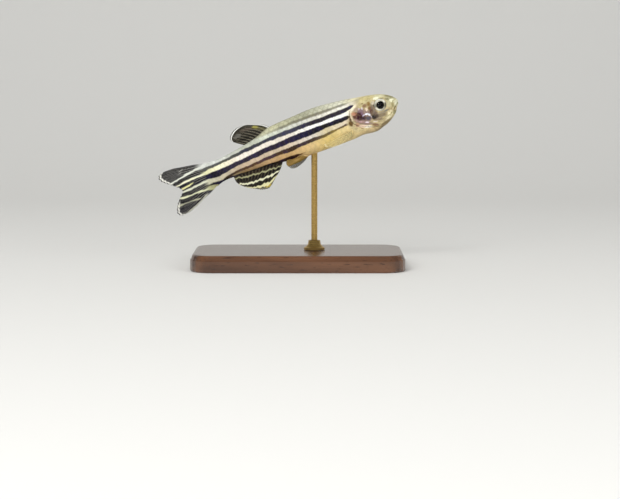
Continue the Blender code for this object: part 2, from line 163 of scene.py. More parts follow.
def near_path(back: np.ndarray, height: np.ndarray, points: tuple) -> tuple[np.ndarray, np.ndarray]:
    """Measure places on the fish's side against an open path of straight runs.

    Args:
        back: how far each place lies behind the snout.
        height: how far it lies above the axis.
        points: the path's (back, height) corners.

    Returns:
        How far off the path each place lies, above 0 on its left as it is walked, and a share that
        is 1 beside the path and fades to 0 at its two ends.
    """
    best = np.full(np.broadcast(back, height).shape, np.inf)
    off, share = best.copy(), np.zeros_like(best)
    corners = np.array(points, float)
    lengths = np.linalg.norm(np.diff(corners, axis=0), axis=1)
    walked = 0.0
    for start, end, length in zip(corners[:-1], corners[1:], lengths, strict=True):
        run = end - start
        db, dh = back - start[0], height - start[1]
        t = np.clip((db * run[0] + dh * run[1]) / run.dot(run), 0.0, 1.0)
        gap = np.hypot(db - t * run[0], dh - t * run[1])
        nearer = gap < best
        best = np.where(nearer, gap, best)
        off = np.where(nearer, gap * np.sign(run[0] * dh - run[1] * db), off)
        share = np.where(nearer, (walked + t * length) / lengths.sum(), share)
        walked += length
    return off, smoothstep(share, 0.0, 0.18) * (1 - smoothstep(share, 0.82, 1.0))


@dataclass(frozen=True)
class FishPlace:
    """Where the fish's own frame sits in the model's."""

    snout_ahead: float = 23.2
    middle_x: float = -3.6
    middle_z: float = 21.0
    nose_up_deg: float = 19.7

    def world(self, points: np.ndarray) -> np.ndarray:
        """Turn (back, side, height) points in mm into the model's frame, in metres."""
        turn = math.radians(self.nose_up_deg)
        ahead, side, height = self.snout_ahead - points[..., 0], points[..., 1], points[..., 2]
        x = self.middle_x + ahead * math.cos(turn) - height * math.sin(turn)
        z = self.middle_z + ahead * math.sin(turn) + height * math.cos(turn)
        return np.stack([x, side, z], axis=-1) * MM

    def nodes(self, tree: bpy.types.NodeTree) -> tuple:
        """Add the nodes that turn Object coordinates back into the fish's frame.

        Args:
            tree: a material's tree or a group in it.

        Returns:
            Sockets for the place in mm as a vector, for back and for height.
        """
        here = add(tree, "ShaderNodeTexCoord")
        own = add(
            tree,
            "ShaderNodeMapping",
            {
                "Vector": here.outputs["Object"],
                "Location": (self.middle_x * MM, 0.0, self.middle_z * MM),
                "Rotation": (0.0, -math.radians(self.nose_up_deg), 0.0),
                "Scale": (MM, MM, MM),
            },
            vector_type="TEXTURE",
        )
        split = add(tree, "ShaderNodeSeparateXYZ", {0: own})
        back = add(tree, "ShaderNodeMath", {0: self.snout_ahead, 1: split.outputs[0]}, operation="SUBTRACT")
        return own.outputs[0], back.outputs[0], split.outputs[2]


PLACE = FishPlace()


@dataclass(frozen=True)
class BodyForm:
    """The body's outline from the side and from above, as smooth lines along it."""

    back_line: Line = Line(
        (
            (0.0, 0.9), (0.06, 1.26), (0.4, 1.85), (1.1, 2.5), (2.5, 3.2), (4.3, 3.73), (7.0, 4.17),
            (10.5, 4.7), (15.0, 5.03), (19.0, 4.8), (22.8, 4.53), (26.0, 3.5), (29.5, 2.75),
            (33.1, 2.22), (34.4, 2.1), (35.6, 2.25), (36.9, 2.2),
        )
    )
    belly_line: Line = Line(
        (
            (0.0, 0.9), (0.18, 0.54), (0.54, 0.0), (0.95, -0.75), (2.2, -1.75), (3.4, -2.34),
            (5.6, -2.9), (7.9, -2.68), (9.7, -2.86), (15.0, -2.92), (19.0, -2.92), (22.3, -2.52),
            (25.0, -2.2), (29.5, -2.0), (33.0, -1.97), (34.5, -2.15), (35.6, -2.5), (36.9, -2.45),
        )
    )
    widest_line: Line = Line(
        ((0.0, 0.9), (3.2, 1.1), (9.0, 1.0), (17.0, 0.9), (24.0, 0.8), (30.0, 0.4), (35.6, 0.0), (36.9, -0.1))
    )
    half_width: Line = Line(
        (
            (0.0, 0.0), (0.06, 0.3), (0.4, 0.72), (1.1, 1.1), (2.2, 1.42), (3.3, 1.66), (5.0, 1.88),
            (8.0, 2.1), (12.0, 2.2), (16.0, 2.15), (20.0, 1.85), (24.0, 1.4), (28.0, 1.05), (32.0, 0.8),
            (34.6, 0.6), (35.6, 0.36), (36.4, 0.2), (36.9, 0.07),
        )
    )
    power: float = 2.25
    end: float = 36.9

    def section(self, back: np.ndarray, turn: np.ndarray) -> np.ndarray:
        """Points of the plain body: turn is 0 on the back and a quarter turn on the left flank."""
        across, up = np.sin(turn), np.cos(turn)
        middle = self.widest_line(back)
        reach = np.where(up > 0, self.back_line(back) - middle, middle - self.belly_line(back))
        side = np.sign(across) * np.abs(across) ** (2 / self.power) * self.half_width(back)
        height = middle + np.sign(up) * np.abs(up) ** (2 / self.power) * reach
        return np.stack([np.broadcast_to(back, side.shape), side, height], axis=-1)

    def outward(self, back: np.ndarray, turn: np.ndarray) -> np.ndarray:
        """Unit vectors that stand square on the plain body at these places."""
        step = 0.02
        near = np.maximum(back - step, 0.004)
        along = self.section(back + step, turn) - self.section(near, turn)
        round_it = self.section(back, turn + step) - self.section(back, turn - step)
        normal = np.cross(along, round_it)
        normal /= np.maximum(np.linalg.norm(normal, axis=-1, keepdims=True), 1e-12)
        away = np.stack([np.zeros_like(normal[..., 0]), np.sin(turn) + 0 * back, np.cos(turn) + 0 * back], -1)
        flip = np.sign((normal * away).sum(-1, keepdims=True))
        return normal * np.where(flip == 0, 1, flip)

    def flank(self, back: float, height: float) -> float:
        """How far out the body's surface is at this place on its side."""
        middle = float(self.widest_line(back))
        reach = self.back_line(back) - middle if height > middle else middle - self.belly_line(back)
        share = min(abs(height - middle) / max(float(reach), 1e-6), 1.0)
        return float(self.half_width(back)) * (1.0 - share**self.power) ** (1.0 / self.power)


FORM = BodyForm()


@dataclass(frozen=True)
class Fold:
    """A groove along a path on the head, with a soft ridge beside it."""

    path: tuple
    depth: float
    width: float
    ridge: float = 0.0
    ridge_off: float = 0.15
    ridge_width: float = 0.1

    def lift(self, back: np.ndarray, height: np.ndarray) -> np.ndarray:
        """How far the fold raises the skin; the ridge lies on the path's left for offsets above 0."""
        off, share = near_path(back, height, self.path)
        return share * (self.ridge * bell(off - self.ridge_off, self.ridge_width) - self.depth * bell(off, self.width))


@dataclass(frozen=True)
class HeadRelief:
    """Eye rims, mouth, nostrils, cheek folds and gill covers, as depths on the plain body, in mm."""

    eye: tuple = (3.3, 1.47)
    eye_radius: float = 1.1
    eye_edge_side: float = 1.36
    rim_radius: float = 1.27
    rim_rise: float = 0.05
    socket_reach: float = 1.9
    socket_depth: float = 0.75
    folds: tuple = (
        Fold(((-0.4, 1.2), (0.0, 0.93), (0.5, 0.55), (0.95, 0.15), (1.35, -0.3), (1.5, -0.6)), 0.22, 0.08),
        Fold(((-0.4, 1.2), (0.0, 0.93), (0.5, 0.55), (0.95, 0.15), (1.35, -0.3), (1.5, -0.6)), 0.0, 1.0, 0.06, 0.17, 0.1),
        Fold(((-0.4, 1.2), (0.0, 0.93), (0.5, 0.55), (0.95, 0.15), (1.35, -0.3), (1.5, -0.6)), 0.0, 1.0, 0.07, -0.2, 0.12),
        Fold(((0.75, 1.75), (0.95, 1.2), (1.15, 0.6), (1.5, 0.0), (1.75, -0.5), (1.85, -1.0)), 0.05, 0.13, 0.03, -0.28, 0.16),
        Fold(((1.6, -0.75), (2.3, -1.35), (3.4, -1.8), (4.8, -2.05)), 0.07, 0.1, 0.03, 0.26, 0.16),
        Fold(((6.0, 2.6), (6.0, 1.5), (5.85, 0.3), (5.45, -0.6), (4.7, -1.3), (3.5, -1.6)), 0.09, 0.07, 0.06, 0.2, 0.14),
        Fold(((5.3, 2.2), (5.35, 1.2), (5.15, 0.3), (4.7, -0.3), (3.9, -0.65)), 0.06, 0.08, 0.04, 0.2, 0.12),
        Fold(((8.9, 0.1), (7.8, -0.5), (6.7, -0.85), (5.9, -1.05)), 0.07, 0.06, 0.03, -0.18, 0.1),
        Fold(((1.5, 0.35), (2.0, -0.2), (2.8, -0.55), (3.7, -0.55), (4.4, -0.2), (4.9, 0.4)), 0.05, 0.08, 0.035, -0.2, 0.12),
        Fold(((1.0, 2.2), (1.8, 2.55), (2.8, 3.0), (4.2, 3.2), (5.4, 3.0)), 0.03, 0.1, 0.02, 0.22, 0.14),
    )
    nostrils: tuple = (((1.93, 2.08), 0.17, 0.15), ((1.58, 1.82), 0.12, 0.1))
    gill_edge: tuple = (
        (7.7, 3.1), (8.3, 2.7), (8.75, 2.25), (9.1, 1.5), (9.15, 0.9), (8.98, 0.1), (8.3, -0.65), (7.0, -1.3),
        (5.8, -1.8), (4.9, -2.05), (4.1, -2.3), (3.2, -2.5),
    )
    gill_rise: float = 0.06
    gill_slit: float = 0.12
    gullet_rays: int = 3

    def lift(self, back: np.ndarray, height: np.ndarray) -> np.ndarray:
        """How far the skin stands out from the plain body at each place of the side view."""
        out = sum(fold.lift(back, height) for fold in self.folds)
        for centre, radius, depth in self.nostrils:
            gap = np.hypot(back - centre[0], height - centre[1])
            out += -depth * (1 - smoothstep(gap, 0.4 * radius, radius)) + 0.035 * bell(gap - 1.35 * radius, 0.05)
        return out + self.gill_cover(back, height)

    def gill_cover(self, back: np.ndarray, height: np.ndarray) -> np.ndarray:
        """The cover's free edge, which stands proud of the slit behind it, and the rays below it."""
        off, share = near_path(back, height, self.gill_edge)
        inside = -off
        plate = self.gill_rise * smoothstep(inside, -0.04, 0.05) * (1 - smoothstep(inside, 0.3, 1.7))
        slit = -self.gill_slit * bell(inside + 0.11, 0.1) - 0.04 * bell(inside + 0.3, 0.25)
        rays = sum(0.02 * bell(inside + 0.28 + 0.22 * k, 0.07) for k in range(self.gullet_rays))
        return share * (plate + slit + rays * (1 - smoothstep(back, 6.5, 8.0)))

    def seat_eyes(self, points: np.ndarray) -> None:
        """Turn the skin round each eye into a low rim, with a hollow inside it for the eye.

        Args:
            points: the skin's (back, side, height) points, which are moved in place.
        """
        back, side, height = points[..., 0], points[..., 1], points[..., 2]
        off = np.hypot(back - self.eye[0], height - self.eye[1])
        wanted = self.eye_edge_side + self.rim_rise * bell(off - self.rim_radius, 0.1)
        wanted -= self.socket_depth * (1 - smoothstep(off, self.eye_radius - 0.2, self.eye_radius))
        share = 1.0 - smoothstep(off, self.rim_radius, self.socket_reach)
        level = np.abs(side)
        on_cheek = smoothstep(level, 0.35, 0.8)
        points[..., 1] = np.sign(side) * (level + (wanted - level) * share * on_cheek)


def grid_mesh(name: str, points: np.ndarray, wrapped: bool = False, outward: np.ndarray | None = None):
    """Make a mesh from a grid of points in metres, with its faces turned outwards.

    Args:
        name: the mesh's name.
        points: rows by columns by 3.
        wrapped: join the last column to the first.
        outward: a direction that stands out of the sheet at its middle point, if it matters.

    Returns:
        The mesh, and for each face corner the grid's row and column.
    """
    rows, columns = points.shape[:2]
    across = columns if wrapped else columns - 1
    j, i = np.meshgrid(np.arange(rows - 1), np.arange(across), indexing="ij")
    corner_rows = np.stack([j, j, j + 1, j + 1], -1).reshape(-1, 4)
    corner_columns = np.stack([i, i + 1, i + 1, i], -1).reshape(-1, 4)
    if outward is not None:
        a, b = rows // 2, columns // 2
        square = np.cross(points[a, b + 1] - points[a, b], points[a + 1, b] - points[a, b])
        if square.dot(outward) < 0:
            corner_rows, corner_columns = corner_rows[:, ::-1], corner_columns[:, ::-1]
    faces = corner_rows * columns + corner_columns % columns
    mesh = bpy.data.meshes.new(name)
    mesh.from_pydata(points.reshape(-1, 3).tolist(), [], faces.tolist())
    mesh.shade_smooth()
    return mesh, corner_rows.ravel(), corner_columns.ravel()


def set_map(mesh: bpy.types.Mesh, name: str, places: np.ndarray) -> None:
    """Give a mesh a UV map: one (u, v) for each face corner."""
    layer = mesh.uv_layers.new(name=name)
    layer.data.foreach_set("uv", np.asarray(places, np.float32).ravel())


def set_values(mesh: bpy.types.Mesh, name: str, values: np.ndarray) -> None:
    """Store one number or one vector for each point of a mesh."""
    values = np.asarray(values, np.float32)
    kind, slot = ("FLOAT_VECTOR", "vector") if values.ndim > 1 and values.shape[-1] == 3 else ("FLOAT", "value")
    mesh.attributes.new(name, kind, "POINT").data.foreach_set(slot, values.ravel())


def object_of(mesh: bpy.types.Mesh, finish: bpy.types.Material | None = None) -> bpy.types.Object:
    """Link an object for a mesh, with its finish."""
    made = bpy.data.objects.new(mesh.name, mesh)
    bpy.context.scene.collection.objects.link(made)
    if finish:
        mesh.materials.clear()
        mesh.materials.append(finish)
    return made


def finished(made: bpy.types.Object, slot: str, *nodes: str) -> bpy.types.Object:
    """Fix a piece to the model, hide the imported solids that it stands for and log its triangles."""
    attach(made, BODY)
    if nodes:
        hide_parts(*nodes)
    triangles = sum(len(face.vertices) - 2 for face in made.data.polygons)
    LOG.info("%s: %d triangles", made.name, triangles)
    return made


class NodeShape:
    """A Geometry Nodes tree with named inputs, which makes a mesh out of a carrier's."""

    def __init__(self, name: str, sockets: dict[str, str]) -> None:
        """Start the tree.

        Args:
            name: the tree's name.
            sockets: for each input after Geometry its name and its socket type.
        """
        self.tree = bpy.data.node_groups.new(name, "GeometryNodeTree")
        face = self.tree.interface
        face.new_socket("Geometry", in_out="INPUT", socket_type="NodeSocketGeometry")
        for label, kind in sockets.items():
            face.new_socket(label, in_out="INPUT", socket_type=kind)
        face.new_socket("Geometry", in_out="OUTPUT", socket_type="NodeSocketGeometry")
        self.given = add(self.tree, "NodeGroupInput")
        self.guide = add(self.tree, "GeometryNodeObjectInfo", {"Object": self.given.outputs["Guide"]})

    def math(self, operation: str, *values) -> bpy.types.NodeSocket:
        """Work out a number from numbers or sockets."""
        return add(self.tree, "ShaderNodeMath", dict(enumerate(values)), operation=operation).outputs[0]

    def vector(self, operation: str, *values) -> bpy.types.NodeSocket:
        """Work out a vector from vectors or sockets."""
        return add(self.tree, "ShaderNodeVectorMath", dict(enumerate(values)), operation=operation).outputs[0]

    def scaled(self, vector: bpy.types.NodeSocket, factor: float | bpy.types.NodeSocket):
        """A vector times a number."""
        return add(self.tree, "ShaderNodeVectorMath", {0: vector, "Scale": factor}, operation="SCALE").outputs[0]

    def stored(self, name: str, kind: str) -> bpy.types.NodeSocket:
        """Read a value that the geometry carries under this name."""
        return add(self.tree, "GeometryNodeInputNamedAttribute", {"Name": name}, data_type=kind).outputs[0]

    def store(self, geometry, name: str, value, kind: str, domain: str = "POINT"):
        """Let the geometry carry a value under this name."""
        return add(
            self.tree,
            "GeometryNodeStoreNamedAttribute",
            {"Geometry": geometry, "Name": name, "Value": value},
            data_type=kind,
            domain=domain,
        ).outputs[0]

    def on_guide(self, name: str, kind: str, place: bpy.types.NodeSocket) -> bpy.types.Node:
        """Read a value from the guide's surface at a place of its map."""
        value = add(self.tree, "GeometryNodeInputPosition").outputs[0] if name == "position" else self.stored(name, kind)
        return add(
            self.tree,
            "GeometryNodeSampleUVSurface",
            {
                "Mesh": self.guide.outputs["Geometry"],
                "Value": value,
                "UV Map": self.stored(GUIDE_MAP, "FLOAT_VECTOR"),
                "Sample UV": place,
            },
            data_type=kind,
        )

    def finish(self, geometry: bpy.types.NodeSocket) -> None:
        """End the tree: realised, smooth and with its material."""
        real = add(self.tree, "GeometryNodeRealizeInstances", {"Geometry": geometry})
        soft = add(self.tree, "GeometryNodeSetShadeSmooth", {"Geometry": real})
        last = add(
            self.tree,
            "GeometryNodeSetMaterial",
            {"Geometry": soft, "Material": self.given.outputs["Finish"]},
        )
        add(self.tree, "NodeGroupOutput", {"Geometry": last})

    def make(self, name: str, carrier: bpy.types.Mesh, sizes: dict[str, object]) -> bpy.types.Object:
        """Run the tree on a carrier mesh.

        Args:
            name: the finished piece's name.
            carrier: the mesh that the modifier sits on.
            sizes: a value for each named input.

        Returns:
            An object with the plain mesh that came out.
        """
        bearer = object_of(carrier)
        step = bearer.modifiers.new(self.tree.name, "NODES")
        step.node_group = self.tree
        for item in self.tree.interface.items_tree:
            if item.in_out == "INPUT" and item.name in sizes:
                step[item.identifier] = sizes[item.name]
        graph = bpy.context.evaluated_depsgraph_get()
        seen = bearer.evaluated_get(graph)
        mesh = bpy.data.meshes.new_from_object(seen, preserve_all_data_layers=True, depsgraph=graph)
        mesh.name = name
        bpy.data.objects.remove(bearer)
        return object_of(mesh)


@dataclass(frozen=True)
class Band:
    """One dark stripe: where it runs, how wide it is and its colour along the fish."""

    name: str
    course: tuple
    colours: tuple
    strength: float = 1.0
    softness: float = 0.09

    def nodes(self, tree: bpy.types.NodeTree, back, height) -> tuple:
        """Add the stripe's nodes.

        Args:
            tree: the tree that gets them.
            back: socket of how far behind the snout the place lies.
            height: socket of how high it lies.

        Returns:
            Sockets for how much of the stripe is here, its colour here, and the height of its middle.
        """
        middle = curve(tree, back, tuple((b, h) for b, h, _ in self.course))
        half = curve(tree, back, tuple((b, w) for b, _, w in self.course))
        off = add(tree, "ShaderNodeMath", {0: height, 1: middle}, operation="SUBTRACT")
        gap = add(tree, "ShaderNodeMath", {0: off}, operation="ABSOLUTE")
        past = add(tree, "ShaderNodeMath", {0: gap, 1: half}, operation="SUBTRACT")
        here = add(
            tree,
            "ShaderNodeMapRange",
            {"Value": past, 1: -self.softness, 2: self.softness, 3: self.strength, 4: 0.0},
            interpolation_type="SMOOTHSTEP",
        )
        return here.outputs[0], along(tree, back, self.colours), middle


def curve(tree: bpy.types.NodeTree, place, points: tuple) -> bpy.types.NodeSocket:
    """Add a drawn curve: a number for each place, smooth through its points."""
    node = add(tree, "ShaderNodeFloatCurve", {"Value": place})
    mapping = node.mapping
    mapping.use_clip = False
    drawn = mapping.curves[0]
    drawn.points[0].location = points[0]
    drawn.points[1].location = points[-1]
    for point in points[1:-1]:
        drawn.points.new(*point)
    for point in drawn.points:
        point.handle_type = "AUTO_CLAMPED"
    mapping.extend = "HORIZONTAL"
    mapping.update()
    return node.outputs[0]


def along(tree: bpy.types.NodeTree, back, colours: tuple) -> bpy.types.NodeSocket:
    """Add a ramp of colours along the fish, each given as (back, hex)."""
    first, last = colours[0][0], colours[-1][0]
    share = add(tree, "ShaderNodeMapRange", {"Value": back, 1: first, 2: last})
    ramp = add(tree, "ShaderNodeValToRGB", {"Fac": share})
    stops = ramp.color_ramp.elements
    while len(stops) < len(colours):
        stops.new(0.5)
    for stop, (place, code) in zip(stops, colours, strict=True):
        stop.position = (place - first) / (last - first)
        stop.color = linear(code)
    return ramp.outputs[0]


def mixed(tree: bpy.types.NodeTree, share, under, over) -> bpy.types.NodeSocket:
    """Add a mix of two colours."""
    node = add(tree, "ShaderNodeMix", {0: share, MIX_A: under, MIX_B: over}, data_type="RGBA")
    return node.outputs[MIX_RESULT]


@dataclass(frozen=True)
class Spot:
    """A soft oval of colour on the fish's side, such as a fleck on the cheek."""

    name: str
    centre: tuple
    reach: tuple
    lean: float
    colour: str
    strength: float = 1.0
    core: float = 0.45

    def nodes(self, tree: bpy.types.NodeTree, plane) -> bpy.types.NodeSocket:
        """Add the nodes for how much of the spot is at a place of the side view."""
        off = add(tree, "ShaderNodeVectorMath", {0: plane, 1: (*self.centre, 0.0)}, operation="SUBTRACT")
        own = []
        for reach, turn in zip(self.reach, (self.lean, self.lean + 90.0), strict=True):
            axis = (math.cos(math.radians(turn)) / reach, math.sin(math.radians(turn)) / reach, 0.0)
            own.append(add(tree, "ShaderNodeVectorMath", {0: off, 1: axis}, operation="DOT_PRODUCT").outputs["Value"])
        local = add(tree, "ShaderNodeCombineXYZ", dict(enumerate(own)))
        gap = add(tree, "ShaderNodeVectorMath", {0: local}, operation="LENGTH")
        return add(
            tree,
            "ShaderNodeMapRange",
            {"Value": gap.outputs["Value"], 1: self.core, 2: 1.0, 3: self.strength, 4: 0.0},
            interpolation_type="SMOOTHSTEP",
        ).outputs[0]


